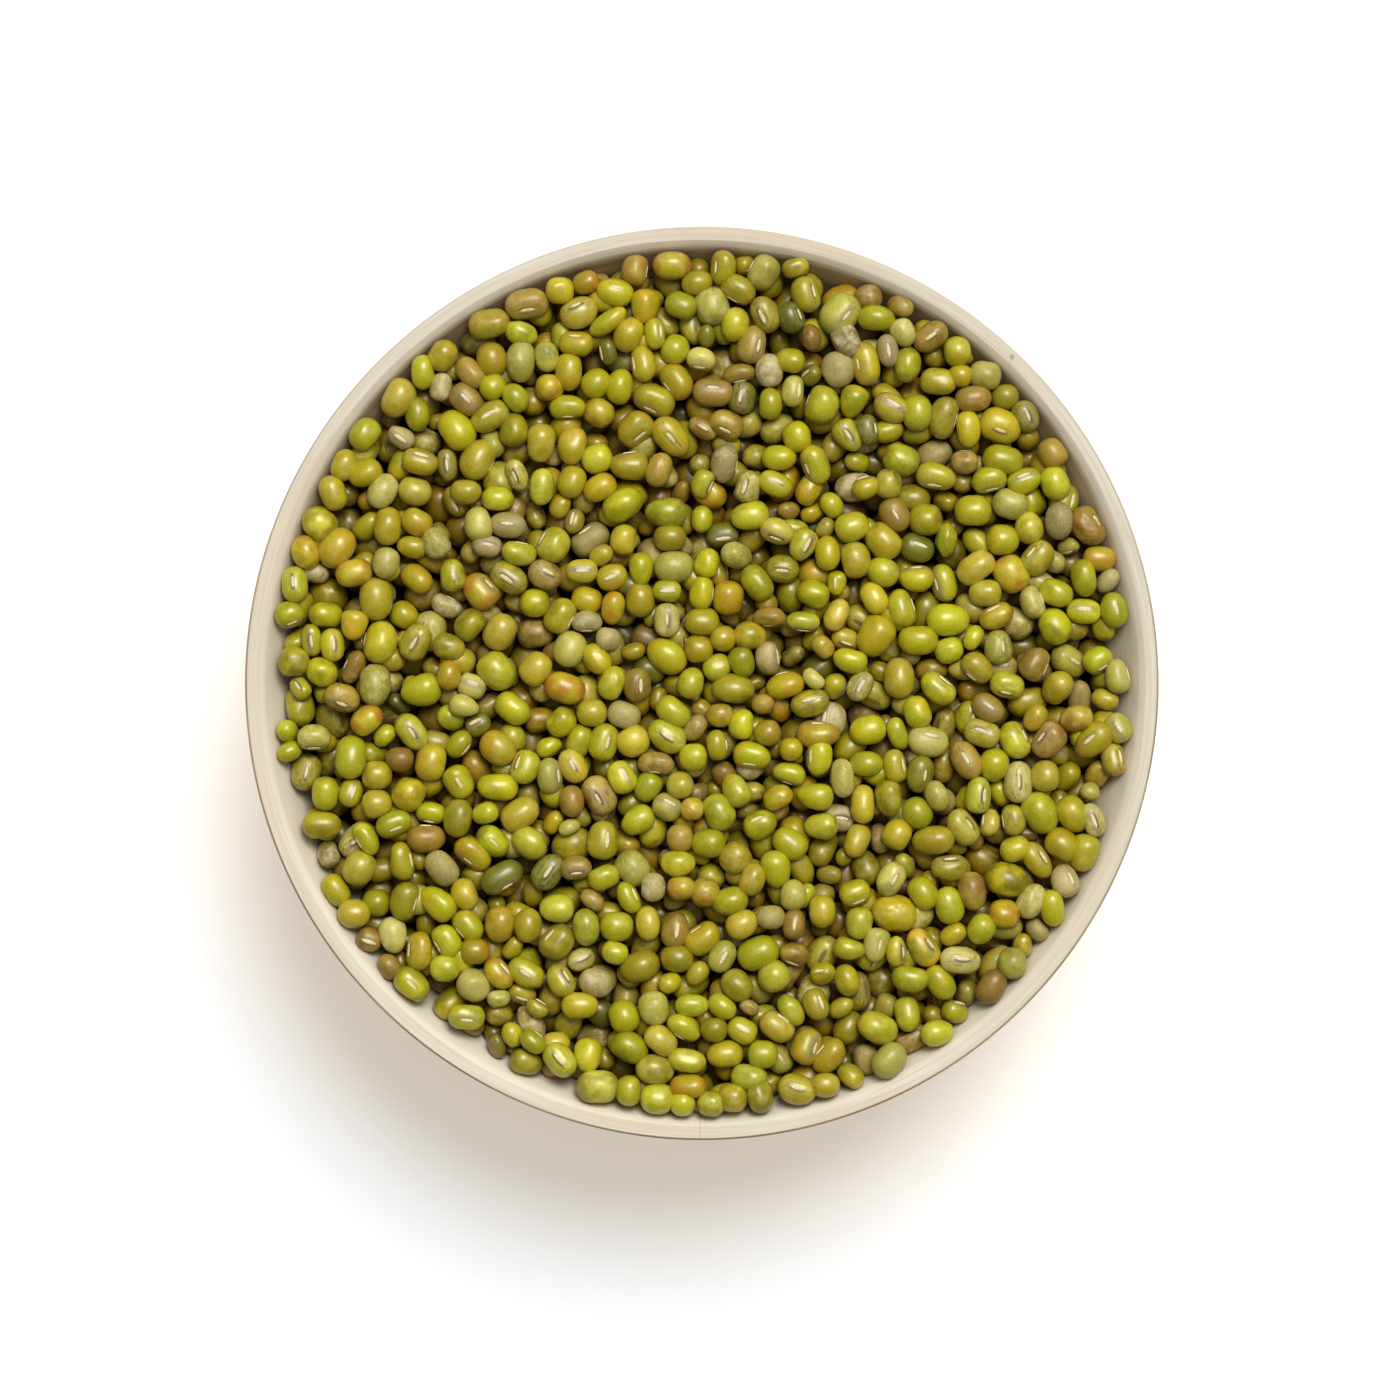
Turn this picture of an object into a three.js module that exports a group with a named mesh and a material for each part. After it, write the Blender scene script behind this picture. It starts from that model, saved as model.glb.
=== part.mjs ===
// A round bowl of pale wood, filled to just under its rim with dried mung beans.
// Millimetres, +Z up. The origin is on the surface that the bowl stands on, below its centre.
// The bowl is one turned piece. The beans are one heap whose top has a bump for every bean.

import * as THREE from "three";

// Bowl
const RIM_RADIUS = 60; // outside
const BOWL_HEIGHT = 42;
const RIM_WIDTH = 1.8; // flat top of the wall, its rounded outer edge included
const EDGE_ROUND = 0.3; // radius of the rim's outer edge
const LIP = 0.8; // width and depth of the slope from the flat top down to the inside
const INSIDE_LEAN = 30; // degrees from upright at the top of the wall
const OUTSIDE_LEAN = 28;
const FOOT_RADIUS = 28;
const FOOT_HEIGHT = 1.4;
const FOOT_RING_WIDTH = 6;
const FOOT_RECESS = 0.8; // depth of the hollow inside the foot ring
const FLOOR_RADIUS = 24; // flat floor inside
const FLOOR_HEIGHT = 5;
const AROUND = 72; // facets of the bowl round its axis
const WALL_STEPS = 10; // facets of each wall from floor to rim
const EDGE_STEPS = 2; // facets of the rounded edge

// Beans
const GAP = 0.3; // between the heap and the wood
const BEAN_RINGS = 12; // rings of beans round the one in the middle
const BEAN_RISE = 1.7; // a bean's back over the hollows round it
const EDGE_DROP = 2.7; // the hollows along the wall below the rim
const CROWN = 1.4; // the hollows in the middle above those along the wall
const UNEVEN = 0.7; // how far a bean may lie above or below its neighbours
const SHIFT = 0.16; // how far a bean may lie beside its regular place, as a share of the pitch
const FLANK = 0.3; // a point on a bean's flank from the middle of its back, as a share of the pitch
const FLANK_RISE = 0.7; // height of that point, as a share of the back's
const HEAP_AROUND = 48; // facets of the heap where it follows the wall
const SEED = 7;

const WOOD = new THREE.MeshStandardMaterial({ color: 0xe3d8c3, roughness: 0.75, metalness: 0 });
const BEAN_SKIN = new THREE.MeshStandardMaterial({ color: 0x8d8f2a, roughness: 0.45, metalness: 0 });

// Numbers from 0 to 1 that are the same at every run.
function seededRandom(seed) {
  let state = seed;
  return () => {
    state = (Math.imul(state, 1664525) + 1013904223) >>> 0;
    return state / 2 ** 32;
  };
}

// A wall as an arc from its top down to its foot. It leans out from upright by the given degrees at the top and
// more below. The points are [radius, height], from the top down.
function wallArc([topRadius, topHeight], [endRadius, endHeight], leanDegrees) {
  const lean = THREE.MathUtils.degToRad(leanDegrees);
  const chordLean = Math.atan2(topRadius - endRadius, topHeight - endHeight);
  const turn = 2 * (chordLean - lean);
  const arcRadius = Math.hypot(topRadius - endRadius, topHeight - endHeight) / (2 * Math.sin(turn / 2));
  return Array.from({ length: WALL_STEPS + 1 }, (_, i) => {
    const angle = lean + (turn * i) / WALL_STEPS;
    return [
      topRadius + arcRadius * (Math.cos(angle) - Math.cos(lean)),
      topHeight - arcRadius * (Math.sin(angle) - Math.sin(lean)),
    ];
  });
}

// The bowl's inside below the lip, moved in from the wood by a gap.
function insideWall(gap) {
  const top = [RIM_RADIUS - RIM_WIDTH - LIP - gap, BOWL_HEIGHT - LIP];
  return wallArc(top, [FLOOR_RADIUS - gap, FLOOR_HEIGHT + gap], INSIDE_LEAN);
}

// The rim's outer edge as a quarter of a circle, from the outside up to the flat top.
function roundedEdge() {
  return Array.from({ length: EDGE_STEPS + 1 }, (_, i) => {
    const angle = (Math.PI / 2) * (i / EDGE_STEPS);
    return [
      RIM_RADIUS - EDGE_ROUND * (1 - Math.cos(angle)),
      BOWL_HEIGHT - EDGE_ROUND * (1 - Math.sin(angle)),
    ];
  });
}

// The bowl's section, from the axis in the foot's hollow, up the outside, over the rim and down to the floor.
function bowlSection() {
  const outside = wallArc([RIM_RADIUS, BOWL_HEIGHT - EDGE_ROUND], [FOOT_RADIUS, FOOT_HEIGHT], OUTSIDE_LEAN);
  const ringInside = FOOT_RADIUS - FOOT_RING_WIDTH;
  return [
    [0, FOOT_RECESS],
    [ringInside, FOOT_RECESS],
    [ringInside, 0],
    [FOOT_RADIUS, 0],
    ...outside.reverse().slice(0, -1),
    ...roundedEdge(),
    [RIM_RADIUS - RIM_WIDTH, BOWL_HEIGHT],
    ...insideWall(0),
    [0, FLOOR_HEIGHT],
  ];
}

function makeBowl() {
  const section = bowlSection().map(([radius, height]) => new THREE.Vector2(radius, height));
  const geometry = new THREE.LatheGeometry(section, AROUND);
  geometry.rotateX(Math.PI / 2);
  const bowl = new THREE.Mesh(geometry, WOOD);
  bowl.name = "bowl";
  return bowl;
}

// A level ring of points. Each has a distance from the axis, a turn round it from 0 to 1, and a height.
function evenRing(radius, height, count) {
  return Array.from({ length: count }, (_, i) => ({ radius, turn: i / count, height }));
}

// The top of the heap as rings of points from the middle out, up to the last ring of beans.
// A ring of beans is a ring of points on each flank, a ring over their backs that dips between two beans,
// and a ring in the hollows outside them.
function heapTop(heapRadius) {
  const random = seededRandom(SEED);
  const jitter = (size) => (2 * random() - 1) * size;
  const pitch = heapRadius / (BEAN_RINGS + 0.5);
  const hollowHeight = (radius) => BOWL_HEIGHT - EDGE_DROP + CROWN * (1 - (radius / heapRadius) ** 2);
  const rings = [evenRing(0, hollowHeight(0) + BEAN_RISE, 1), evenRing(pitch / 2, hollowHeight(0), 6)];
  for (let k = 1; k <= BEAN_RINGS; k++) {
    const count = Math.round(2 * Math.PI * k);
    const start = (0.5 * random()) / count;
    const beans = Array.from({ length: count }, (_, i) => ({
      radius: k * pitch + jitter(SHIFT * pitch),
      turn: start + (i + SHIFT + jitter(SHIFT)) / count,
      height: hollowHeight(k * pitch) + jitter(UNEVEN),
    }));
    const onBack = (across, rise) => (bean) => ({
      radius: bean.radius + across * pitch,
      turn: bean.turn,
      height: bean.height + rise * BEAN_RISE,
    });
    const hollow = (radius) => (bean) => ({
      radius: radius + jitter(SHIFT * pitch),
      turn: bean.turn + 0.5 / count,
      height: hollowHeight(radius) + jitter(UNEVEN / 3),
    });
    const back = onBack(0, 1);
    const dip = hollow(k * pitch);
    rings.push(beans.map(onBack(-FLANK, FLANK_RISE)));
    rings.push(beans.flatMap((bean) => [back(bean), dip(bean)]));
    rings.push(beans.map(onBack(FLANK, FLANK_RISE)));
    if (k < BEAN_RINGS) rings.push(beans.map(hollow((k + 0.5) * pitch)));
  }
  return rings;
}

// Triangles between two rings that may have different numbers of points. The ring whose next point is nearer
// on the way round moves on by one point.
function stitchRings(faces, ringA, startA, ringB, startB) {
  const turnAt = (ring, i) =>
    ring.length === 1 ? Infinity : ring[i % ring.length].turn + Math.floor(i / ring.length);
  const stepsA = ringA.length === 1 ? 0 : ringA.length;
  const stepsB = ringB.length === 1 ? 0 : ringB.length;
  let i = 0;
  let j = 0;
  while (i < stepsA || j < stepsB) {
    const a = startA + (i % ringA.length);
    const b = startB + (j % ringB.length);
    const moveB = i === stepsA || (j < stepsB && turnAt(ringB, j + 1) <= turnAt(ringA, i + 1));
    if (moveB) {
      j += 1;
      faces.push(a, b, startB + (j % ringB.length));
    } else {
      i += 1;
      faces.push(a, b, startA + (i % ringA.length));
    }
  }
}

function makeBeans() {
  const edgeHeight = BOWL_HEIGHT - EDGE_DROP;
  const wall = insideWall(GAP);
  const below = wall.findIndex(([, height]) => height < edgeHeight);
  const [[upperRadius, upperHeight], [lowerRadius, lowerHeight]] = [wall[below - 1], wall[below]];
  const share = (edgeHeight - lowerHeight) / (upperHeight - lowerHeight);
  const side = [[lowerRadius + share * (upperRadius - lowerRadius), edgeHeight], ...wall.slice(below)];
  const rings = [
    ...heapTop(side[0][0]),
    ...side.map(([radius, height]) => evenRing(radius, height, HEAP_AROUND)),
    evenRing(0, FLOOR_HEIGHT + GAP, 1),
  ];
  const faces = [];
  let start = 0;
  for (let k = 0; k + 1 < rings.length; k++) {
    const nextStart = start + rings[k].length;
    stitchRings(faces, rings[k], start, rings[k + 1], nextStart);
    start = nextStart;
  }
  const positions = rings.flat().flatMap(({ radius, turn, height }) => {
    const angle = 2 * Math.PI * turn;
    return [radius * Math.cos(angle), radius * Math.sin(angle), height];
  });
  const geometry = new THREE.BufferGeometry();
  geometry.setAttribute("position", new THREE.Float32BufferAttribute(positions, 3));
  geometry.setIndex(faces);
  geometry.computeVertexNormals();
  const beans = new THREE.Mesh(geometry, BEAN_SKIN);
  beans.name = "beans";
  return beans;
}

const bowlOfBeans = new THREE.Group();
bowlOfBeans.name = "bowl_of_mung_beans";
bowlOfBeans.add(makeBowl(), makeBeans());

export default bowlOfBeans;
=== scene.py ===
"""Looks of a round bowl of mung beans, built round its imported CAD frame. Metres, +Z up.

The bowl is a finer turned shape than the CAD one. The heap is real beans on a core that takes up the depth no one
sees. Those that make its pattern lie where they are placed, and each of the others settles into the lowest hollow
near it. The beans are joined into one piece for each kind."""

import math

import bpy
import numpy as np
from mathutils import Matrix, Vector


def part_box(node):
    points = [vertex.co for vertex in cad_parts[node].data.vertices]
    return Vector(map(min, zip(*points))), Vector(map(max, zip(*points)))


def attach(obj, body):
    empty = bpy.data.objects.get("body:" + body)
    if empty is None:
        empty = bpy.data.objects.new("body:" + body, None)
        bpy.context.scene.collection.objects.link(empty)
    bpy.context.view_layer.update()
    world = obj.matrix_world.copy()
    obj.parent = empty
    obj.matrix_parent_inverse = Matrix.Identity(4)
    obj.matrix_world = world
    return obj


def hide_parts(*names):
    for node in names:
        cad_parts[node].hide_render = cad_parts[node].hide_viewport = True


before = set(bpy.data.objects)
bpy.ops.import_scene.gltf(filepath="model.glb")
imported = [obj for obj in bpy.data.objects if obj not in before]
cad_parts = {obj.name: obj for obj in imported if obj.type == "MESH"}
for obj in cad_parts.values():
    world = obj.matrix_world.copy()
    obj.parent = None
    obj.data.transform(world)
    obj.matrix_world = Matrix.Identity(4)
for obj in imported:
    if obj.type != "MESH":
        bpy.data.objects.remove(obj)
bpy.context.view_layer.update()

MM = 0.001
RNG = np.random.default_rng(11)

# ---------------------------------------------------------------- sizes, in millimetres unless they say otherwise

_, bowl_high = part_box("bowl")

RIM_RADIUS = bowl_high.x / MM
BOWL_HEIGHT = bowl_high.z / MM
RIM_WIDTH = 1.8
EDGE_ROUND = 0.3
LIP = 0.8  # width and depth of the slope from the flat rim down to the inside
INSIDE_LEAN, OUTSIDE_LEAN = 30.0, 28.0  # degrees from upright at the top of the wall
FOOT_RADIUS = 28.0
FOOT_HEIGHT = 1.4
FOOT_RING_WIDTH = 6.0
FOOT_RECESS = 0.8
FOOT_ROUND = 0.15  # at the edges of the foot ring
FLOOR_RADIUS = 24.0
FLOOR_HEIGHT = 5.0
WALL_STEPS = 40  # from the top of a wall down to its foot
BOWL_AROUND, CORE_AROUND = 240, 96  # steps round the axis

HEAP_EDGE = 42.5  # height of the beans' backs along the wall
HEAP_CROWN = 0.4  # how much higher they are in the middle
HEAP_SADDLE = 0.8  # how much higher they are at the picture's top and bottom, and lower at its sides
HEAP_UNEVEN = 0.4
HEAP_DEPTH = 8.5  # of real beans, over the core
CORE_GAP = 0.2  # between the core and the wood
UNDER_PLACED = 1.6  # depth of the random beans that the placed ones lie on
PLACED_UNEVEN = 0.5
PLACED_GROW = 1.04  # a placed bean's size, to the size that shows between its neighbours
PLACED_SINK = 0.88  # share of a placed bean's size that rests on the others; the rest may press into them
PLACED_CLEAR = 0.45  # between a placed bean and the inside of the rim
MAY_HIDE = 0.1  # share of a placed bean that a later one may cover
START_CLEAR = 1.4  # between the inside of the rim and where a random bean may start

BEAN_LENGTH = 5.2
BEAN_LENGTH_SPREAD = 0.45
BEAN_LONGEST = 6.3
SMALL_BEANS = 0.07  # share of the beans that are small
SMALL_LENGTH = (3.1, 4.5)
BEAN_RATIO = 1.27  # length to width
BEAN_RATIO_SPREAD = 0.11
BEAN_RATIOS = (1.03, 1.6)
BEAN_THICKNESS = (0.93, 1.0)  # to its width
PLACED_THICKNESS = (0.92, 1.0)
SCAR_LENGTH, SCAR_WIDTH, SCAR_HEIGHT = 1.85, 0.5, 0.07
FLAT_SIDE_DOWN = 0.4  # share of the beans that turn their scar, which is on the flat side, down
STEEP_BEANS = 0.2  # share of the beans that may stand at any slope
STEEPEST = 1.5  # slope of a bean's length, in radians, like the next three
SLOPE_SPREAD = 0.35
PLACED_SLOPE_SPREAD = 0.1
HIDDEN_SCAR_SPREAD = 0.5  # from straight down, of a placed bean's scar that is out of sight

# ---------------------------------------------------------------- the photograph's frame

PHOTO_SIZE = 1400  # pixels
RIM_CENTRE_PX = (701.9, 683.3)
RIM_RADIUS_PX = 457.0
CAMERA_RISE = 800.0  # camera over the rim
SENSOR = 36.0
SEAM_PX = (700, 1128)  # a faint seam across the rim
NICK_PX = (1012, 357)  # a small nick in the rim

PX_PER_MM = RIM_RADIUS_PX / RIM_RADIUS
CAMERA_X = (PHOTO_SIZE / 2 - RIM_CENTRE_PX[0]) / PX_PER_MM
CAMERA_Y = (RIM_CENTRE_PX[1] - PHOTO_SIZE / 2) / PX_PER_MM
LENS = SENSOR * CAMERA_RISE * PX_PER_MM / PHOTO_SIZE

LOOK_GREY, LOOK_POWER = 0.18, 1.28  # what the view's contrast does: out = grey * (in / grey) ** power
BEAN_LIGHT = 0.65  # light on a bean's back, where a white surface shows as 1

# The deeper a bean lies, the browner and darker its colours are painted, as painted shade: the painted light falls by a
# share for each millimetre, and its red, green and blue are that light to these powers.
LIGHT_AT_TOP, LIGHT_LOST, LEAST_LIGHT = 1.06, 0.14, 0.55
DEEP_POWERS = np.array([0.85, 1.2, 2.6])
SCAR_LIGHT = 0.88  # a bean with less has no scar


def at_pixel(px, py, height):
    """The place in the frame, in millimetres, that the photograph shows at a pixel, at the given height."""
    per_pixel = (CAMERA_RISE + BOWL_HEIGHT - height) / CAMERA_RISE / PX_PER_MM
    x = CAMERA_X + (px - PHOTO_SIZE / 2) * per_pixel
    y = CAMERA_Y - (py - PHOTO_SIZE / 2) * per_pixel
    return x, y


def at(px, py, long, wide, turn=0, scar=None, wrinkled=False):
    """A bean at a pixel of the photograph, its size in pixels, and the turn of its length from the picture's right,
    anticlockwise. scar is how far the scar has rolled from the top to the left of the length; None is out of sight.
    Both are in degrees."""
    return dict(px=px, py=py, long=long, wide=wide, turn=turn, scar=scar, wrinkled=wrinkled)


# The beans that make the heap's pattern, by kind. They were read off the photograph one by one.
PLACED = {
    "green_beans": [
        at(px=615, py=293, long=37, wide=28, turn=-10, scar=20), at(px=608, py=322, long=42, wide=20, turn=35),
        at(px=681, py=306, long=32, wide=26, turn=-20), at(px=735, py=325, long=34, wide=28, turn=80),
        at(px=655, py=334, long=31, wide=20, turn=95, scar=-40), at(px=675, py=350, long=30, wide=27, turn=60),
        at(px=790, py=361, long=29, wide=24, turn=-10), at(px=770, py=404, long=31, wide=23, turn=90),
        at(px=821, py=405, long=38, wide=35, turn=70, scar=80), at(px=620, py=387, long=35, wide=27, turn=80),
        at(px=596, py=384, long=31, wide=28, turn=40), at(px=568, py=408, long=36, wide=24, scar=-60),
        at(px=797, py=437, long=31, wide=28, turn=100), at(px=779, py=458, long=34, wide=25),
        at(px=815, py=465, long=40, wide=27, turn=110, scar=50),
        at(px=775, py=484, long=34, wide=24, turn=-25, scar=20), at(px=597, py=459, long=31, wide=29, turn=20),
        at(px=623, py=505, long=42, wide=31, turn=30), at(px=666, py=513, long=41, wide=30),
        at(px=703, py=484, long=28, wide=22, turn=70, scar=-60), at(px=750, py=516, long=38, wide=28, turn=10),
        at(px=362, py=432, long=34, wide=28, turn=50), at(px=417, py=414, long=34, wide=24, turn=95),
        at(px=457, py=430, long=42, wide=33, turn=-55), at(px=498, py=499, long=32, wide=25, turn=-5),
        at(px=542, py=487, long=36, wide=24, turn=85), at(px=293, py=584, long=36, wide=26, turn=95, scar=5),
        at(px=453, py=575, long=32, wide=24, turn=100, scar=0), at(px=535, py=603, long=30, wide=28),
        at(px=286, py=614, long=30, wide=27, turn=20, scar=-50), at(px=311, py=640, long=32, wide=20, turn=95, scar=0),
        at(px=332, py=645, long=33, wide=24, turn=95, scar=-10), at(px=322, py=672, long=32, wide=28, turn=-35),
        at(px=421, py=690, long=40, wide=32, turn=15), at(px=497, py=671, long=40, wide=33, turn=130),
        at(px=848, py=436, long=34, wide=24, turn=125, scar=0), at(px=917, py=413, long=36, wide=30, turn=90),
        at(px=1003, py=460, long=40, wide=29, turn=-10), at(px=901, py=460, long=36, wide=30, turn=-20),
        at(px=989, py=480, long=35, wide=27, turn=15, scar=-60),
        at(px=1024, py=481, long=34, wide=25, turn=20, scar=30), at(px=1055, py=483, long=35, wide=28, turn=110),
        at(px=973, py=511, long=36, wide=31), at(px=852, py=527, long=34, wide=29, turn=20),
        at(px=946, py=540, long=33, wide=21, turn=85, wrinkled=True), at(px=1003, py=540, long=32, wide=30),
        at(px=883, py=572, long=33, wide=28, turn=-25), at(px=916, py=578, long=34, wide=28, scar=60),
        at(px=1084, py=578, long=37, wide=26, turn=100), at(px=1056, py=593, long=34, wide=27, turn=-20),
        at(px=902, py=608, long=38, wide=29, turn=105, scar=-70), at(px=948, py=620, long=42, wide=31),
        at(px=1055, py=626, long=37, wide=32, turn=120), at(px=1084, py=611, long=34, wide=25, turn=-5, scar=10),
        at(px=1114, py=610, long=35, wide=27, turn=100, scar=-10), at(px=918, py=640, long=39, wide=29),
        at(px=949, py=650, long=29, wide=25, turn=20, wrinkled=True),
        at(px=1098, py=660, long=30, wide=26, turn=30, scar=-50), at(px=850, py=660, long=34, wide=25, turn=-15),
        at(px=938, py=688, long=38, wide=27, turn=-40, scar=60),
        at(px=1007, py=685, long=34, wide=26, turn=-15, scar=-40), at(px=868, py=730, long=36, wide=29, turn=10),
        at(px=917, py=712, long=32, wide=26, turn=110), at(px=1015, py=740, long=38, wide=29, turn=115, scar=-55),
        at(px=866, py=764, long=34, wide=25), at(px=994, py=765, long=33, wide=29, turn=80),
        at(px=917, py=813, long=32, wide=28, turn=130), at(px=978, py=795, long=36, wide=25, turn=85, scar=-30),
        at(px=1040, py=813, long=43, wide=33, turn=120), at(px=1015, py=849, long=30, wide=26, turn=20),
        at(px=855, py=893, long=31, wide=26, turn=20, scar=-50), at(px=923, py=893, long=34, wide=27, turn=125),
        at(px=949, py=905, long=37, wide=28, turn=105), at(px=1052, py=908, long=36, wide=24, turn=100),
        at(px=859, py=923, long=32, wide=26, turn=85), at(px=981, py=929, long=31, wide=27, turn=60),
        at(px=849, py=949, long=32, wide=22, turn=-15), at(px=910, py=978, long=36, wide=28, turn=-10),
        at(px=940, py=982, long=37, wide=26, turn=125), at(px=553, py=545, long=36, wide=34, turn=60, scar=60),
        at(px=803, py=545, long=33, wide=26, turn=65, scar=-20), at(px=641, py=570, long=34, wide=25, turn=90),
        at(px=707, py=563, long=29, wide=24, turn=75), at(px=757, py=583, long=38, wide=28, turn=-55),
        at(px=667, py=591, long=28, wide=22, scar=0), at(px=702, py=593, long=33, wide=25, turn=85, scar=-80),
        at(px=813, py=594, long=32, wide=27, turn=-25), at(px=803, py=622, long=33, wide=22, turn=-5, scar=-70),
        at(px=667, py=656, long=42, wide=33, turn=-35), at(px=742, py=662, long=31, wide=25, turn=110),
        at(px=717, py=667, long=29, wide=25, turn=30), at(px=612, py=683, long=34, wide=25, turn=70, wrinkled=True),
        at(px=691, py=683, long=31, wide=26, turn=75), at(px=673, py=712, long=36, wide=26, turn=-40),
        at(px=742, py=724, long=30, wide=25, turn=80), at(px=561, py=722, long=30, wide=28, turn=50),
        at(px=667, py=736, long=40, wide=30, turn=-35, scar=0), at(px=579, py=741, long=34, wide=25, turn=75),
        at(px=604, py=742, long=37, wide=29, turn=75, scar=-20),
        at(px=752, py=756, long=37, wide=28, turn=-10, scar=-50), at(px=693, py=757, long=28, wide=27),
        at(px=819, py=757, long=36, wide=26, turn=85, scar=50), at(px=622, py=777, long=33, wide=28, turn=-65, scar=20),
        at(px=789, py=774, long=33, wide=23, turn=-15, scar=-70), at(px=648, py=787, long=30, wide=25, turn=60),
        at(px=736, py=790, long=34, wide=26, turn=-60), at(px=815, py=796, long=36, wide=26, turn=-5),
        at(px=719, py=812, long=37, wide=31, turn=-70), at(px=638, py=820, long=34, wide=26, turn=30),
        at(px=760, py=824, long=34, wide=28, turn=25, scar=30), at(px=821, py=826, long=33, wide=25),
        at(px=678, py=863, long=34, wide=26), at(px=708, py=843, long=34, wide=28),
        at(px=790, py=843, long=36, wide=28, turn=-35, scar=10), at(px=776, py=869, long=37, wide=28, turn=100),
        at(px=604, py=877, long=32, wide=24, turn=20), at(px=629, py=897, long=33, wide=22, turn=-65, scar=50),
        at(px=730, py=901, long=36, wide=28, turn=15), at(px=557, py=908, long=34, wide=28),
        at(px=586, py=927, long=37, wide=26, turn=95), at(px=617, py=926, long=33, wide=30),
        at(px=615, py=952, long=26, wide=22, turn=-20, wrinkled=True), at(px=758, py=953, long=42, wide=32, turn=20),
        at(px=561, py=980, long=34, wide=27, turn=-60, scar=40), at(px=774, py=976, long=32, wide=31, turn=30),
        at(px=624, py=1016, long=33, wide=29, turn=-70), at(px=692, py=1005, long=33, wide=22),
        at(px=722, py=1006, long=30, wide=23, turn=-40), at(px=791, py=1010, long=34, wide=22, turn=-55),
        at(px=684, py=1027, long=36, wide=26, turn=-30, scar=-70),
        at(px=742, py=1030, long=30, wide=25, turn=-30, scar=10),
        at(px=560, py=1059, long=38, wide=28, turn=-50, scar=0), at(px=588, py=1055, long=34, wide=28, turn=90),
        at(px=630, py=1047, long=38, wide=30, turn=-30), at(px=687, py=1060, long=38, wide=23, turn=-10),
        at(px=763, py=1054, long=30, wide=28), at(px=749, py=1077, long=36, wide=27, turn=-10),
        at(px=629, py=1090, long=30, wide=26, turn=90), at(px=657, py=1101, long=34, wide=31),
        at(px=682, py=1107, long=26, wide=26), at(px=711, py=1107, long=27, wide=26, wrinkled=True),
        at(px=351, py=757, long=43, wide=31, turn=85), at(px=412, py=732, long=38, wide=26, turn=-55, scar=0),
        at(px=459, py=744, long=30, wide=22, turn=50, scar=-60), at(px=498, py=787, long=40, wide=26, turn=-3),
        at(px=459, py=782, long=34, wide=27, turn=-60, scar=0), at(px=525, py=767, long=34, wide=29, turn=70, scar=40),
        at(px=325, py=794, long=34, wide=26, turn=90), at(px=394, py=824, long=36, wide=26, turn=20, scar=-30),
        at(px=431, py=813, long=30, wide=22, turn=-10, scar=-60),
        at(px=366, py=839, long=34, wide=22, turn=-60, scar=-60),
        at(px=493, py=841, long=36, wide=26, turn=-45, scar=0), at(px=530, py=842, long=38, wide=32, turn=-35),
        at(px=402, py=861, long=38, wide=26, turn=-80, scar=60), at(px=333, py=892, long=34, wide=24, turn=-55),
        at(px=376, py=903, long=28, wide=27), at(px=438, py=903, long=40, wide=28, turn=-40),
        at(px=468, py=926, long=34, wide=27, turn=-50, scar=-60),
        at(px=447, py=941, long=34, wide=27, turn=-60, scar=-60), at(px=445, py=968, long=30, wide=27),
        at(px=526, py=973, long=38, wide=27, turn=-35, scar=0), at(px=412, py=984, long=38, wide=28, turn=-45, scar=0),
        at(px=521, py=333, long=33, wide=23, turn=-20), at(px=422, py=371, long=34, wide=25, turn=90),
        at(px=493, py=387, long=27, wide=25, turn=30), at(px=516, py=398, long=30, wide=24, turn=-50),
        at(px=876, py=319, long=37, wide=26, turn=-5), at(px=957, py=352, long=30, wide=27, turn=100),
        at(px=907, py=365, long=35, wide=26, turn=80), at(px=853, py=402, long=33, wide=26, turn=70),
    ],
    "olive_beans": [
        at(px=579, py=313, long=38, wide=32, turn=25, scar=30), at(px=697, py=283, long=31, wide=25, turn=15),
        at(px=723, py=258, long=34, wide=26, turn=85, scar=40),
        at(px=806, py=295, long=36, wide=28, turn=105, scar=-40),
        at(px=738, py=290, long=36, wide=28, turn=-30, scar=-70),
        at(px=765, py=315, long=37, wide=28, turn=115, scar=20),
        at(px=676, py=382, long=38, wide=30, turn=125, scar=60),
        at(px=643, py=364, long=36, wide=25, turn=100, scar=55),
        at(px=654, py=401, long=42, wide=32, turn=-25, scar=-55), at(px=569, py=372, long=38, wide=28, turn=90),
        at(px=576, py=344, long=34, wide=27, turn=-5, scar=40), at(px=636, py=430, long=38, wide=34, turn=40, scar=-40),
        at(px=671, py=437, long=44, wide=30, turn=-50, scar=-5), at(px=572, py=482, long=32, wide=27, turn=70),
        at(px=490, py=417, long=40, wide=28, turn=30, scar=10), at(px=514, py=430, long=34, wide=28, turn=90),
        at(px=365, py=473, long=34, wide=28, turn=20), at(px=420, py=462, long=36, wide=26, turn=-15, scar=40),
        at(px=415, py=491, long=33, wide=29, turn=160), at(px=466, py=492, long=31, wide=25),
        at(px=320, py=524, long=36, wide=33, turn=140), at(px=509, py=578, long=40, wide=28, turn=-35, scar=-10),
        at(px=354, py=625, long=30, wide=26, turn=80), at(px=380, py=642, long=42, wide=35, turn=80, scar=80),
        at(px=416, py=642, long=38, wide=29, turn=60, scar=5), at(px=470, py=625, long=34, wide=28, turn=50),
        at(px=449, py=647, long=32, wide=26, turn=-15), at(px=294, py=662, long=31, wide=29),
        at(px=891, py=408, long=36, wide=28, turn=150, scar=-20),
        at(px=944, py=418, long=42, wide=30, turn=75, scar=-70),
        at(px=936, py=477, long=40, wide=27, turn=-12, scar=-50), at(px=888, py=484, long=30, wide=26, turn=80),
        at(px=925, py=520, long=33, wide=31), at(px=1029, py=528, long=32, wide=28, turn=100),
        at(px=1037, py=558, long=37, wide=29, turn=50, scar=40), at(px=985, py=593, long=32, wide=27),
        at(px=977, py=668, long=34, wide=27, turn=-40, scar=-60),
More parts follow.
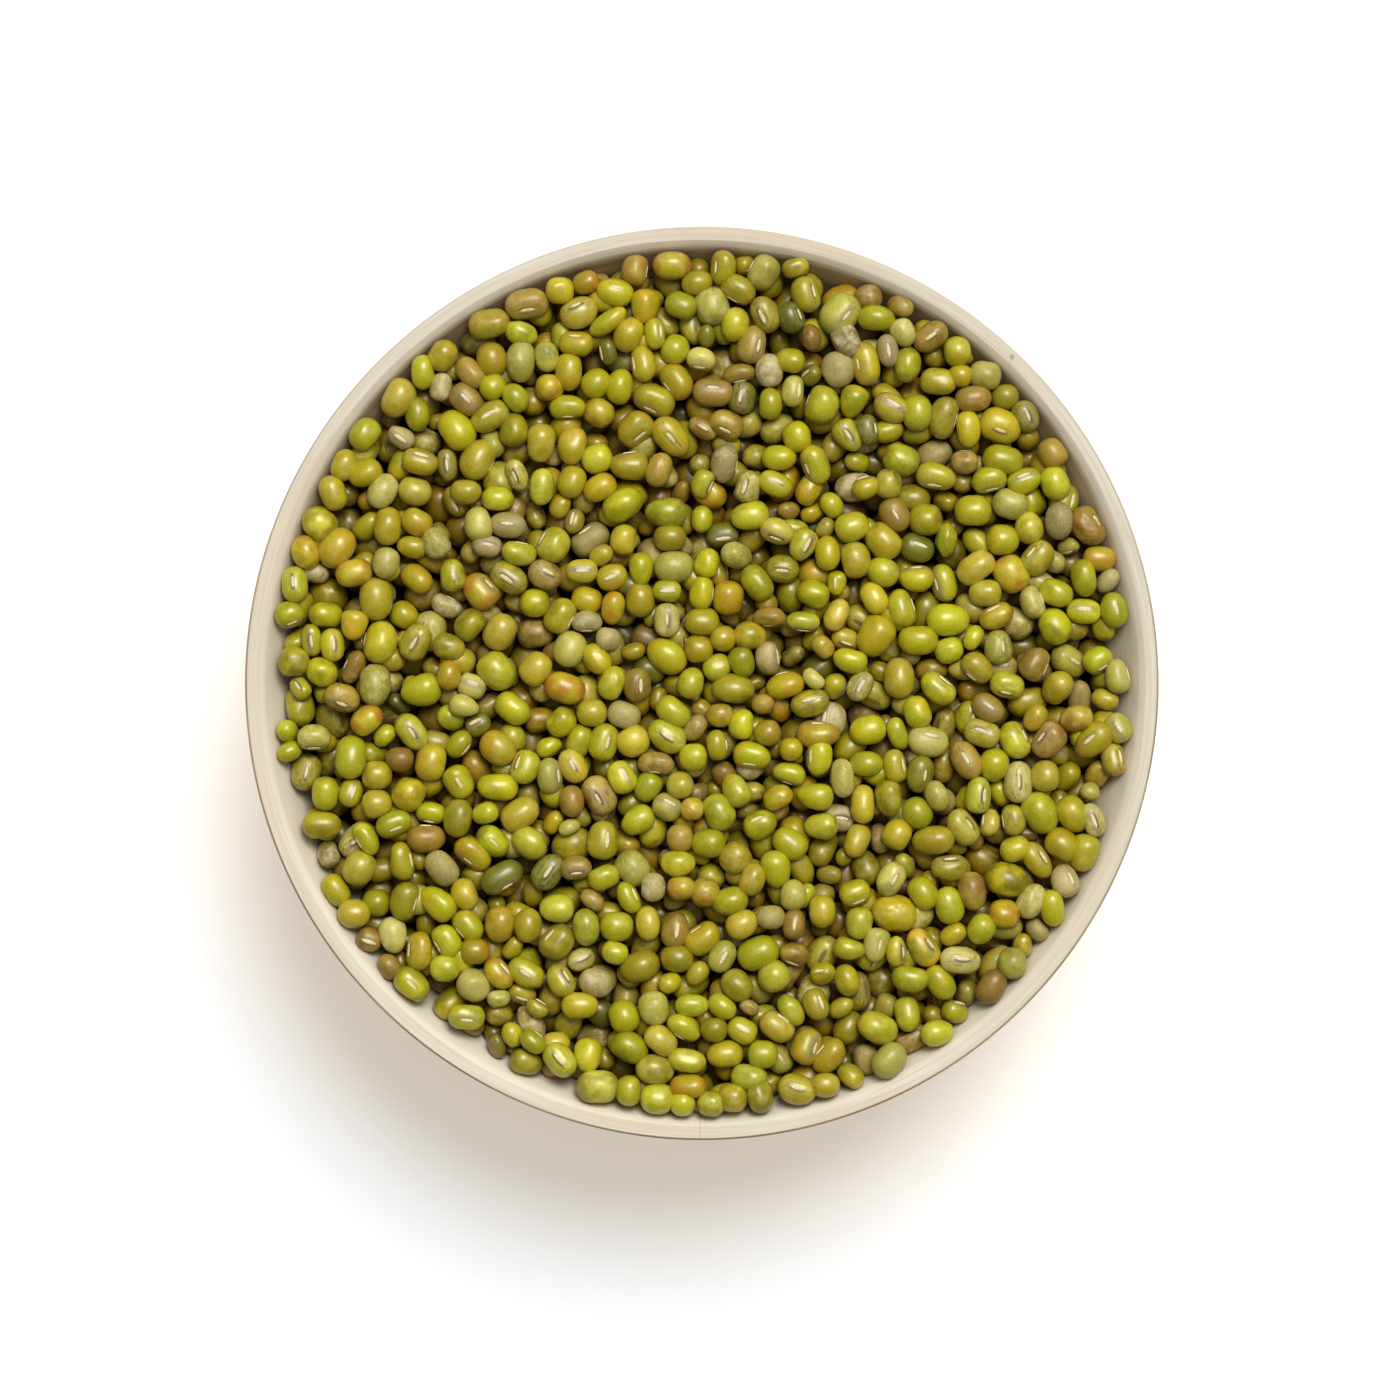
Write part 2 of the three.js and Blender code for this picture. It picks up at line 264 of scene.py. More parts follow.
        at(px=982, py=733, long=36, wide=27, turn=-20, scar=10),
        at(px=1093, py=740, long=42, wide=30, turn=40, scar=15),
        at(px=1114, py=759, long=34, wide=24, turn=100, scar=-40),
        at(px=895, py=766, long=33, wide=24, turn=100, scar=-50), at(px=889, py=798, long=36, wide=27, turn=95),
        at(px=963, py=827, long=38, wide=28, turn=125, scar=-40),
        at(px=1013, py=820, long=31, wide=25, turn=100, scar=70), at(px=1073, py=814, long=38, wide=30, turn=125),
        at(px=1037, py=860, long=40, wide=25, turn=125, scar=-40), at(px=1087, py=854, long=37, wide=29, turn=75),
        at(px=949, py=867, long=36, wide=27, scar=50), at(px=1007, py=880, long=45, wide=33, turn=-15),
        at(px=896, py=951, long=30, wide=20, turn=90, scar=-50),
        at(px=923, py=947, long=40, wide=29, turn=125, scar=-40), at(px=847, py=980, long=32, wide=24, turn=110),
        at(px=670, py=538, long=32, wide=26), at(px=777, py=532, long=34, wide=26, turn=-20, scar=-40),
        at(px=582, py=571, long=31, wide=23, scar=0), at(px=612, py=577, long=31, wide=27, turn=20, scar=0),
        at(px=782, py=569, long=33, wide=28, turn=-5, scar=-10), at(px=587, py=600, long=31, wide=26, turn=-20),
        at(px=561, py=616, long=36, wide=30, turn=60, scar=-60), at(px=702, py=622, long=34, wide=27),
        at(px=750, py=636, long=32, wide=28), at(px=733, py=689, long=42, wide=32, turn=-5),
        at(px=592, py=713, long=30, wide=28), at(px=810, py=703, long=38, wide=27, turn=15, scar=20),
        at(px=717, py=745, long=30, wide=24, turn=95, scar=-60), at(px=680, py=785, long=27, wide=27),
        at(px=603, py=840, long=38, wide=30, turn=85, scar=-20), at(px=735, py=858, long=31, wide=30, turn=45),
        at(px=752, py=879, long=33, wide=25, turn=70), at(px=557, py=941, long=38, wide=32, turn=50, scar=50),
        at(px=640, py=966, long=40, wide=30, turn=20), at(px=677, py=958, long=32, wide=27, turn=-5),
        at(px=737, py=985, long=34, wide=29, turn=-45), at(px=816, py=1004, long=32, wide=25, turn=-70, scar=30),
        at(px=714, py=1029, long=27, wide=25), at(px=777, py=1026, long=36, wide=27, turn=-35, scar=60),
        at(px=807, py=1046, long=36, wide=29, turn=70, scar=-40), at(px=655, py=1069, long=38, wide=30, turn=-10),
        at(px=732, py=1097, long=30, wide=28), at(px=760, py=1097, long=34, wide=26, turn=100),
        at(px=798, py=1093, long=38, wide=30, turn=-15, scar=10), at(px=322, py=825, long=38, wide=26),
        at(px=458, py=818, long=38, wide=28, turn=80), at(px=359, py=868, long=36, wide=32, turn=60),
        at(px=405, py=901, long=38, wide=27, turn=75, scar=-60), at(px=419, py=951, long=38, wide=29, turn=85, scar=60),
        at(px=488, py=322, long=41, wide=30, turn=12), at(px=492, py=360, long=34, wide=30, turn=100),
        at(px=938, py=382, long=36, wide=27, turn=-5), at(px=1005, py=397, long=28, wide=28),
    ],
    "golden_beans": [
        at(px=672, py=264, long=38, wide=28), at(px=586, py=283, long=27, wide=23, turn=20),
        at(px=645, py=307, long=34, wide=28, turn=80), at(px=629, py=335, long=36, wide=29, turn=60),
        at(px=599, py=413, long=31, wide=28, turn=150), at(px=573, py=446, long=38, wide=29, turn=80),
        at(px=629, py=466, long=38, wide=29, scar=75), at(px=600, py=488, long=34, wide=26, turn=30),
        at(px=478, py=460, long=42, wide=34, turn=60, scar=-80), at(px=541, py=443, long=38, wide=28, turn=85),
        at(px=344, py=465, long=32, wide=24, turn=70), at(px=333, py=493, long=35, wide=27, turn=110),
        at(px=388, py=526, long=38, wide=28, turn=88), at(px=417, py=522, long=31, wide=28, turn=150),
        at(px=337, py=548, long=42, wide=34, turn=55), at(px=305, py=552, long=34, wide=28, turn=110),
        at(px=412, py=547, long=30, wide=22, turn=-10), at(px=354, py=573, long=36, wide=27, turn=10),
        at(px=376, py=599, long=42, wide=33, turn=90), at(px=481, py=591, long=38, wide=32, turn=130, scar=-50),
        at(px=500, py=632, long=37, wide=30, turn=60), at(px=449, py=675, long=30, wide=24, turn=90),
        at(px=536, py=669, long=34, wide=30, turn=50), at(px=968, py=429, long=36, wide=24, turn=95),
        at(px=1000, py=426, long=42, wide=34, turn=-20, scar=-20),
        at(px=866, py=487, long=28, wide=25, turn=20, scar=70), at(px=883, py=541, long=40, wide=31, turn=-48),
        at(px=855, py=560, long=36, wide=30, turn=100), at(px=976, py=568, long=40, wide=28, turn=35),
        at(px=1011, py=574, long=38, wide=33, turn=125), at(px=1102, py=558, long=32, wide=25),
        at(px=874, py=598, long=33, wide=25, turn=120), at(px=996, py=616, long=35, wide=26, turn=25, scar=50),
        at(px=875, py=636, long=42, wide=35, turn=60), at(px=899, py=678, long=40, wide=30, turn=92),
        at(px=1045, py=776, long=31, wide=29, turn=90), at(px=863, py=804, long=38, wide=24, turn=90),
        at(px=897, py=834, long=30, wide=28, turn=60), at(px=933, py=840, long=42, wide=28, turn=5),
        at(px=1063, py=845, long=37, wide=31, turn=-35), at(px=895, py=913, long=46, wide=36, turn=-10, wrinkled=True),
        at(px=1004, py=914, long=31, wide=29), at(px=624, py=540, long=30, wide=27, turn=80),
        at(px=640, py=600, long=34, wide=30, turn=90), at(px=728, py=598, long=34, wide=30, turn=80),
        at(px=613, py=608, long=33, wide=22, turn=80), at(px=699, py=649, long=28, wide=27),
        at(px=723, py=639, long=26, wide=26), at(px=597, py=659, long=33, wide=24, turn=-50, wrinkled=True),
        at(px=565, py=688, long=41, wide=30, turn=-20), at(px=785, py=686, long=38, wide=28, turn=15, scar=80),
        at(px=720, py=715, long=27, wide=23), at(px=767, py=733, long=27, wide=26),
        at(px=818, py=734, long=43, wide=29, scar=60), at(px=633, py=741, long=33, wide=31, turn=30),
        at(px=791, py=749, long=23, wide=23), at(px=573, py=766, long=35, wide=27, turn=-60, scar=0),
        at(px=778, py=798, long=30, wide=25, turn=30, wrinkled=True),
        at(px=692, py=809, long=24, wide=23, wrinkled=True), at(px=681, py=888, long=28, wide=24),
        at(px=705, py=892, long=29, wide=28, wrinkled=True), at(px=648, py=923, long=34, wide=24, turn=95),
        at(px=702, py=938, long=38, wide=30, turn=35, scar=60), at(px=742, py=924, long=33, wide=28, turn=30),
        at(px=822, py=911, long=32, wide=27, turn=90), at(px=580, py=1005, long=36, wide=26),
        at(px=661, py=1040, long=35, wide=27, turn=-40), at(px=725, py=1054, long=36, wide=26, turn=5),
        at(px=828, py=1055, long=38, wide=28, turn=50, scar=60), at(px=688, py=1086, long=36, wide=24),
        at(px=825, py=1086, long=30, wide=26), at(px=367, py=720, long=34, wide=26, turn=40),
        at(px=431, py=762, long=38, wide=30, turn=80), at(px=498, py=748, long=38, wide=32, turn=-40),
        at(px=377, py=775, long=30, wide=28), at(px=409, py=794, long=34, wide=32, turn=60),
        at(px=377, py=804, long=30, wide=28), at(px=520, py=814, long=40, wide=30, turn=35),
        at(px=473, py=854, long=40, wide=28, turn=-40, scar=-50), at(px=465, py=894, long=32, wide=26, turn=-65),
        at(px=352, py=915, long=32, wide=28), at(px=500, py=924, long=36, wide=30, turn=80),
        at(px=528, py=925, long=34, wide=28, turn=85), at(px=475, py=951, long=28, wide=26),
        at(px=499, py=973, long=34, wide=25, turn=-50, scar=50), at(px=560, py=291, long=28, wide=27),
        at(px=443, py=356, long=32, wide=28, turn=60), at(px=397, py=397, long=40, wide=31, turn=60),
        at(px=550, py=388, long=28, wide=27), at(px=865, py=364, long=43, wide=28, turn=-80, scar=-40),
        at(px=960, py=376, long=24, wide=22),
    ],
    "pale_beans": [
        at(px=763, py=270, long=36, wide=32, turn=60, scar=75), at(px=840, py=315, long=44, wide=36, turn=50, scar=-20),
        at(px=712, py=307, long=38, wide=34, turn=110), at(px=701, py=360, long=29, wide=24, turn=-10, scar=-60),
        at(px=748, py=487, long=32, wide=24, turn=75, wrinkled=True, scar=20),
        at(px=383, py=491, long=36, wide=27, turn=60),
        at(px=517, py=475, long=32, wide=20, turn=110, wrinkled=True, scar=20),
        at(px=479, py=524, long=34, wide=29, turn=95), at(px=436, py=543, long=32, wide=26, turn=120, wrinkled=True),
        at(px=386, py=563, long=31, wide=26, turn=80), at(px=375, py=685, long=42, wide=31, turn=88),
        at(px=472, py=686, long=28, wide=26, turn=-20, scar=20), at(px=1010, py=504, long=35, wide=30, turn=-15),
        at(px=1033, py=602, long=33, wide=26, turn=110, scar=-70),
        at(px=998, py=647, long=34, wide=28, turn=95, scar=-20),
        at(px=860, py=686, long=31, wide=24, turn=60, wrinkled=True, scar=0),
        at(px=1118, py=676, long=34, wide=26, turn=100, scar=-70),
        at(px=928, py=741, long=40, wide=31, turn=-12, scar=30),
        at(px=1118, py=728, long=30, wide=26, turn=120, scar=0), at(px=1018, py=782, long=41, wide=28, turn=90, scar=0),
        at(px=842, py=778, long=38, wide=26, turn=95, wrinkled=True), at(px=937, py=796, long=32, wide=23, turn=115),
        at(px=1093, py=820, long=34, wide=22, turn=110, scar=0),
        at(px=891, py=879, long=36, wide=26, turn=60, scar=-15), at(px=1031, py=901, long=36, wide=26, turn=60),
        at(px=876, py=945, long=34, wide=25, turn=80, scar=-20), at(px=960, py=960, long=40, wide=27, turn=-5, scar=10),
        at(px=1012, py=963, long=31, wide=28, turn=90), at(px=674, py=567, long=39, wide=31),
        at(px=667, py=620, long=33, wide=25, turn=90, scar=0), at(px=570, py=649, long=36, wide=32, turn=70),
        at(px=550, py=776, long=36, wide=27, turn=95, scar=-50),
        at(px=667, py=807, long=29, wide=26, turn=-30, scar=30), at(px=633, py=868, long=37, wide=31, turn=-45),
        at(px=793, py=895, long=31, wide=27, turn=90), at(px=722, py=956, long=33, wide=26, turn=60, scar=-10),
        at(px=654, py=1008, long=34, wide=30, turn=-80), at(px=597, py=1090, long=42, wide=32),
        at(px=314, py=738, long=33, wide=26, scar=-60), at(px=393, py=935, long=36, wide=27, turn=-80),
        at(px=474, py=985, long=34, wide=32, turn=-45), at(px=521, py=362, long=41, wide=29, turn=88),
        at(px=547, py=357, long=30, wide=25, turn=100), at(px=903, py=333, long=28, wide=24, turn=-60),
        at(px=987, py=373, long=32, wide=28, turn=-10),
    ],
    "dusty_beans": [
        at(px=769, py=371, long=33, wide=27, turn=95), at(px=838, py=370, long=36, wide=34, turn=90),
        at(px=725, py=464, long=38, wide=29, turn=80, scar=-75),
        at(px=401, py=437, long=28, wide=21, turn=-35, scar=-10), at(px=508, py=525, long=36, wide=26, turn=-5, scar=5),
        at(px=487, py=546, long=30, wide=22, turn=-10, scar=10), at(px=1059, py=521, long=37, wide=28, turn=88),
        at(px=1065, py=881, long=33, wide=28, turn=110, scar=-30), at(px=587, py=622, long=30, wide=23, scar=-70),
        at(px=608, py=639, long=24, wide=24), at(px=768, py=658, long=33, wide=25, turn=100, scar=-60),
        at(px=624, py=715, long=33, wide=26, turn=-20), at(px=653, py=887, long=28, wide=24, turn=90, wrinkled=True),
        at(px=771, py=917, long=28, wide=24), at(px=596, py=982, long=34, wide=29, turn=-15),
        at(px=442, py=868, long=38, wide=28, turn=-50), at(px=441, py=387, long=28, wide=21, turn=80, wrinkled=True),
        at(px=888, py=351, long=32, wide=21, turn=100, scar=0),
        at(px=846, py=340, long=38, wide=26, turn=-60, wrinkled=True),
    ],
    "dark_beans": [
        at(px=791, py=318, long=32, wide=27, turn=110, scar=-45),
        at(px=742, py=398, long=32, wide=26, turn=80, scar=10), at(px=608, py=352, long=26, wide=18, turn=100, scar=60),
        at(px=447, py=465, long=32, wide=20, turn=95, scar=0), at(px=868, py=430, long=30, wide=21, turn=100, scar=-50),
        at(px=1026, py=416, long=32, wide=26, turn=110, scar=-10),
        at(px=917, py=548, long=34, wide=27, turn=-20, scar=20),
        at(px=920, py=774, long=37, wide=27, turn=80, scar=-25), at(px=548, py=872, long=38, wide=28, turn=55, scar=0),
        at(px=502, py=877, long=44, wide=28, turn=30, scar=-50),
    ],
    "brown_beans": [
        at(px=636, py=270, long=30, wide=27, turn=80, scar=-75),
        at(px=811, py=338, long=26, wide=19, turn=100, wrinkled=True),
        at(px=752, py=345, long=38, wide=28, turn=75, scar=-30),
        at(px=739, py=374, long=32, wide=20, turn=10, scar=-60), at(px=713, py=393, long=40, wide=28, turn=-5, scar=25),
        at(px=703, py=428, long=30, wide=20, turn=-30, scar=0),
        at(px=726, py=425, long=34, wide=28, turn=-25, scar=-30),
        at(px=659, py=470, long=34, wide=24, turn=70, wrinkled=True),
        at(px=545, py=575, long=34, wide=28, turn=-30, scar=20),
        at(px=353, py=667, long=34, wide=20, turn=65, wrinkled=True, scar=70),
        at(px=342, py=698, long=36, wide=28, turn=-20, wrinkled=True, scar=-30),
        at(px=1054, py=452, long=30, wide=27, turn=120),
        at(px=1093, py=524, long=41, wide=31, turn=125, wrinkled=True, scar=-50),
        at(px=895, py=515, long=35, wide=28, turn=120, scar=0),
        at(px=1035, py=664, long=34, wide=29, turn=60, scar=-70),
        at(px=988, py=708, long=34, wide=26, turn=-35, scar=10),
        at(px=1048, py=740, long=38, wide=31, turn=50, scar=35), at(px=1076, py=718, long=33, wide=26, turn=20),
        at(px=966, py=760, long=40, wide=27, turn=120, scar=0), at(px=972, py=891, long=38, wide=27, turn=100),
        at(px=992, py=987, long=36, wide=26, turn=60), at(px=769, py=618, long=33, wide=22, wrinkled=True, scar=-70),
        at(px=637, py=685, long=33, wide=28, turn=90, scar=-20), at(px=763, py=704, long=23, wide=19, wrinkled=True),
        at(px=695, py=728, long=28, wide=22, turn=50, wrinkled=True),
        at(px=656, py=764, long=36, wide=24, turn=-5, scar=-60),
        at(px=599, py=795, long=40, wide=30, turn=-60, scar=-10), at(px=572, py=801, long=31, wide=24, turn=90),
        at(px=680, py=838, long=28, wide=26, turn=90), at(px=576, py=868, long=31, wide=24, turn=5, scar=-30),
        at(px=675, py=930, long=36, wide=27, turn=80, scar=-10), at(px=794, py=924, long=31, wide=22, turn=85, scar=0),
        at(px=794, py=955, long=28, wide=24, turn=-20, scar=-60), at(px=400, py=759, long=28, wide=25),
        at(px=426, py=838, long=38, wide=28, scar=70), at(px=366, py=942, long=26, wide=24, turn=-20, scar=-10),
        at(px=387, py=968, long=26, wide=22, turn=-60), at(px=526, py=303, long=43, wide=31, turn=8, scar=-30),
        at(px=471, py=373, long=34, wide=26, turn=-50), at(px=467, py=400, long=36, wide=28, turn=-45, scar=0),
        at(px=933, py=333, long=37, wide=26, turn=35, scar=0), at(px=973, py=399, long=36, wide=26, turn=10),
        at(px=870, py=293, long=28, wide=25), at(px=749, py=1007, long=20, wide=14, turn=-30, wrinkled=True),
    ],
}


# ---------------------------------------------------------------- meshes

def srgb(red, green, blue):
    """A colour as a screen shows it, from 0 to 255, as the linear numbers of a shader."""
    shown = np.array([red, green, blue]) / 255
    linear = np.where(shown <= 0.04045, shown / 12.92, ((shown + 0.055) / 1.055) ** 2.4)
    return (*linear.tolist(), 1.0)


def seen(red, green, blue):
    """The base colour of a skin that the picture shows as this, from 0 to 255, on the back of a bean."""
    shown = np.array(srgb(red, green, blue)[:3])
    before_look = LOOK_GREY * (shown / LOOK_GREY) ** (1 / LOOK_POWER)
    return (*(before_look / BEAN_LIGHT).tolist(), 1.0)


def make_piece(name, vertices, triangles, corner_uv, material, point_data=()):
    """A smooth mesh from arrays in millimetres. point_data is a list of (name, type, numbers for each vertex)."""
    mesh = bpy.data.meshes.new(name)
    mesh.vertices.add(len(vertices))
    mesh.vertices.foreach_set("co", (np.asarray(vertices) * MM).astype(np.float32).ravel())
    mesh.loops.add(3 * len(triangles))
    mesh.loops.foreach_set("vertex_index", np.asarray(triangles, np.int32).ravel())
    mesh.polygons.add(len(triangles))
    mesh.polygons.foreach_set("loop_start", np.arange(0, 3 * len(triangles), 3, dtype=np.int32))
    mesh.polygons.foreach_set("use_smooth", np.ones(len(triangles), bool))
    uv_layer = mesh.uv_layers.new(name="OFBake")
    uv_layer.data.foreach_set("uv", np.asarray(corner_uv, np.float32).ravel())
    for data_name, kind, numbers in point_data:
        attribute = mesh.attributes.new(data_name, kind, "POINT")
        field = {"FLOAT_VECTOR": "vector", "FLOAT_COLOR": "color"}[kind]
        attribute.data.foreach_set(field, np.asarray(numbers, np.float32).ravel())
    mesh.update()
    mesh.validate()
    mesh.materials.append(material)
    piece = bpy.data.objects.new(name, mesh)
    bpy.context.scene.collection.objects.link(piece)
    return piece


def closed_grid(around, v):
    """(triangles, corner uv) of rings of points from one end point to the other. v is the map's height at each."""
    rings = len(v) - 2
    last, last_ring = 1 + rings * around, 1 + (rings - 1) * around
    triangles, uv = [], []
    for j in range(around):
        k = (j + 1) % around
        u0, u1 = j / around, (j + 1) / around
        middle = (u0 + u1) / 2
        triangles += [(0, 1 + k, 1 + j), (last, last_ring + j, last_ring + k)]
        uv += [(middle, v[0], u1, v[1], u0, v[1]), (middle, v[-1], u0, v[-2], u1, v[-2])]
        for i in range(1, rings):
            a, b = 1 + (i - 1) * around, 1 + i * around
            triangles += [(a + j, a + k, b + k), (a + j, b + k, b + j)]
            uv += [(u0, v[i], u1, v[i], u1, v[i + 1]), (u0, v[i], u1, v[i + 1], u0, v[i + 1])]
    return np.array(triangles), np.array(uv)


def turned(profile, around):
    """(vertices, triangles, corner uv) of a solid turned round Z. The profile starts and ends on the axis."""
    profile = np.asarray(profile, float)
    angle = 2 * math.pi * np.arange(around) / around
    inner = profile[1:-1]
    rings = np.stack([
        np.outer(inner[:, 0], np.cos(angle)),
        np.outer(inner[:, 0], np.sin(angle)),
        np.repeat(inner[:, 1:2], around, 1),
    ], 2)
    vertices = np.vstack([[[0, 0, profile[0, 1]]], rings.reshape(-1, 3), [[0, 0, profile[-1, 1]]]])
    length = np.concatenate([[0], np.cumsum(np.linalg.norm(np.diff(profile, axis=0), axis=1))])
    return vertices, *closed_grid(around, length / length[-1])


# ---------------------------------------------------------------- materials

class Nodes:
    """Short ways to add shader nodes to a material."""

    def __init__(self, name):
        self.material = bpy.data.materials.new(name)
        self.material.use_nodes = True
        self.tree = self.material.node_tree
        self.shader = self.tree.nodes["Principled BSDF"]

    def add(self, kind, inputs=(), **settings):
        node = self.tree.nodes.new(kind)
        for key, value in settings.items():
            setattr(node, key, value)
        for key, value in dict(inputs).items():
            self.put(node.inputs[key], value)
        return node

    def put(self, socket, value):
        if isinstance(value, bpy.types.NodeSocket):
            self.tree.links.new(value, socket)
        else:
            socket.default_value = value

    def place(self):
        return self.add("ShaderNodeTexCoord").outputs["Object"]

    def math(self, operation, *values, clamp=False):
        node = self.add("ShaderNodeMath", operation=operation, use_clamp=clamp)
        for socket, value in zip(node.inputs, values):
            self.put(socket, value)
        return node.outputs[0]

    def product(self, first, *others):
        for other in others:
            first = self.math("MULTIPLY", first, other)
        return first

    def length(self, x, y):
        return self.math("SQRT", self.math("ADD", self.product(x, x), self.product(y, y)))

    def vector(self, operation, a, b=(0, 0, 0), output="Vector"):
        return self.add("ShaderNodeVectorMath", {0: a, 1: b}, operation=operation).outputs[output]

    def split(self, vector):
        return self.add("ShaderNodeSeparateXYZ", {0: vector}).outputs[:]

    def attribute(self, name, output="Vector"):
        return self.add("ShaderNodeAttribute", attribute_name=name).outputs[output]

    def noise(self, place, scale, detail=2.0, roughness=0.5):
        inputs = {"Vector": place, "Scale": scale, "Detail": detail, "Roughness": roughness}
        return self.add("ShaderNodeTexNoise", inputs).outputs["Fac"]

    def ramp(self, factor, low, high, low_value=0.0, high_value=1.0):
        """A number that goes from low_value to high_value as the factor goes from low to high."""
        inputs = {0: factor, 1: low, 2: high, 3: low_value, 4: high_value}
        return self.add("ShaderNodeMapRange", inputs, interpolation_type="SMOOTHSTEP").outputs[0]

    def ramp_mm(self, factor, low, high, low_value=0.0, high_value=1.0):
        """The same along a distance, with low and high in millimetres."""
        return self.ramp(factor, low * MM, high * MM, low_value, high_value)

    def mix(self, factor, a, b, blend="MIX"):
        node = self.add("ShaderNodeMix", data_type="RGBA", blend_type=blend)
        self.put(node.inputs[0], factor)
        self.put(node.inputs[6], a)
        self.put(node.inputs[7], b)
        return node.outputs[2]

    def bump(self, height, distance, strength=1.0):
        inputs = {"Height": height, "Distance": distance, "Strength": strength}
        return self.add("ShaderNodeBump", inputs).outputs[0]

    def finish(self, inputs):
        """The material, its shader's inputs set by name."""
        for name, value in inputs.items():
            self.put(self.shader.inputs[name], value)
        return self.material


# Darker wood for the seam and the nick, which are wear, and for the painted shade along the rim's outer edge.
WOOD_WEAR_AND_SHADE = srgb(150, 134, 108)
LINES_ACROSS, LINES_UP, LINES_ROUND = 900.0, 620.0, 28.0  # how fast the wood's lines vary, over a metre


def wood_material():
    """Pale limed wood whose fine lines run round the bowl."""
    n = Nodes("limed_wood")
    place = n.place()
    x, y, z = n.split(place)
    radius = n.length(x, y)
    # The lines follow the turning, so they vary fast across the wall and slowly round it.
    across = n.math("ADD", n.product(radius, LINES_ACROSS), n.product(z, LINES_UP))
    round_x, round_y = n.product(x, LINES_ROUND), n.product(y, LINES_ROUND)
    grain_place = n.add("ShaderNodeCombineXYZ", {0: across, 1: round_x, 2: round_y}).outputs[0]
    fine = n.noise(grain_place, 2.4, 3.0, 0.6)
    broad = n.noise(grain_place, 0.55)
    blotch = n.noise(place, 60.0, 3.0, 0.6)
    colour = n.mix(n.ramp(fine, 0.3, 0.72), srgb(203, 195, 179), srgb(215, 209, 197))
    colour = n.mix(n.ramp(broad, 0.42, 0.75, 0.0, 0.6), colour, srgb(207, 192, 169))
    colour = n.mix(n.ramp(blotch, 0.45, 0.75, 0.0, 0.35), colour, srgb(207, 197, 186))
    # The lip and the wall are painted paler than the rim, as painted light, but browner below the lip on the side away
    # from the light, as painted shade. The outside of the wall, whose faces look away from the axis, is like the rim.
    rim_inside = RIM_RADIUS - RIM_WIDTH
    outward = n.vector("DOT_PRODUCT", n.add("ShaderNodeNewGeometry").outputs["True Normal"], place, "Value")
    inside = n.product(n.ramp_mm(radius, rim_inside + 0.1, rim_inside - 0.2), n.ramp_mm(outward, -2.0, -8.0))
    below_lip = n.ramp_mm(z, BOWL_HEIGHT - 2.0, BOWL_HEIGHT - 0.8, 1.0, 0.0)
    painted_shade_below_lip = n.product(below_lip, n.ramp_mm(y, 0.0, 0.7 * RIM_RADIUS))
    painted_light_inside = n.product(inside, n.math("SUBTRACT", 1.0, painted_shade_below_lip), 0.85)
    # Painted light: the lip and the wall painted paler. Painted shade: browner below the lip away from the light.
    colour = n.mix(painted_light_inside, colour, srgb(222, 215, 201))
    colour = n.mix(n.product(inside, painted_shade_below_lip, n.ramp(fine, 0.25, 0.6, 1.0, 0.7)), colour, srgb(160, 138, 104))
    # A faint seam runs across the rim, and there is a small nick in it.
    seam_x, seam_y = at_pixel(*SEAM_PX, BOWL_HEIGHT)
    off_seam = n.math("ABSOLUTE", n.math("SUBTRACT", x, seam_x * MM))
    seam = n.product(n.ramp_mm(off_seam, 0.14, 0.04), n.ramp_mm(y, 0.9 * seam_y, seam_y, 0.0, 0.25))
    colour = n.mix(seam, colour, WOOD_WEAR_AND_SHADE)
    nick = Vector((*at_pixel(*NICK_PX, BOWL_HEIGHT), BOWL_HEIGHT)) * MM
    colour = n.mix(n.ramp_mm(n.vector("DISTANCE", place, nick, "Value"), 0.5, 0.15, 0.0, 0.6), colour, WOOD_WEAR_AND_SHADE)
    # The outer edge of the rim is painted darker, most on the side away from the light: painted shade of its rounding.
    edge = n.product(
        n.ramp_mm(radius, RIM_RADIUS - 0.34, RIM_RADIUS - 0.22),
        n.ramp(fine, 0.2, 0.6, 0.45, 0.9),
        n.ramp_mm(z, BOWL_HEIGHT - 1.2, BOWL_HEIGHT - 0.6),
        n.ramp_mm(y, -0.2 * RIM_RADIUS, 0.9 * RIM_RADIUS, 1.0, 0.3),
    )
    return n.finish({
        "Base Color": n.mix(edge, colour, WOOD_WEAR_AND_SHADE),
        "Roughness": n.ramp(fine, 0.2, 0.8, 0.62, 0.78),
        "Specular IOR Level": 0.3,
        "Normal": n.bump(fine, 0.06 * MM, 0.6),
    })


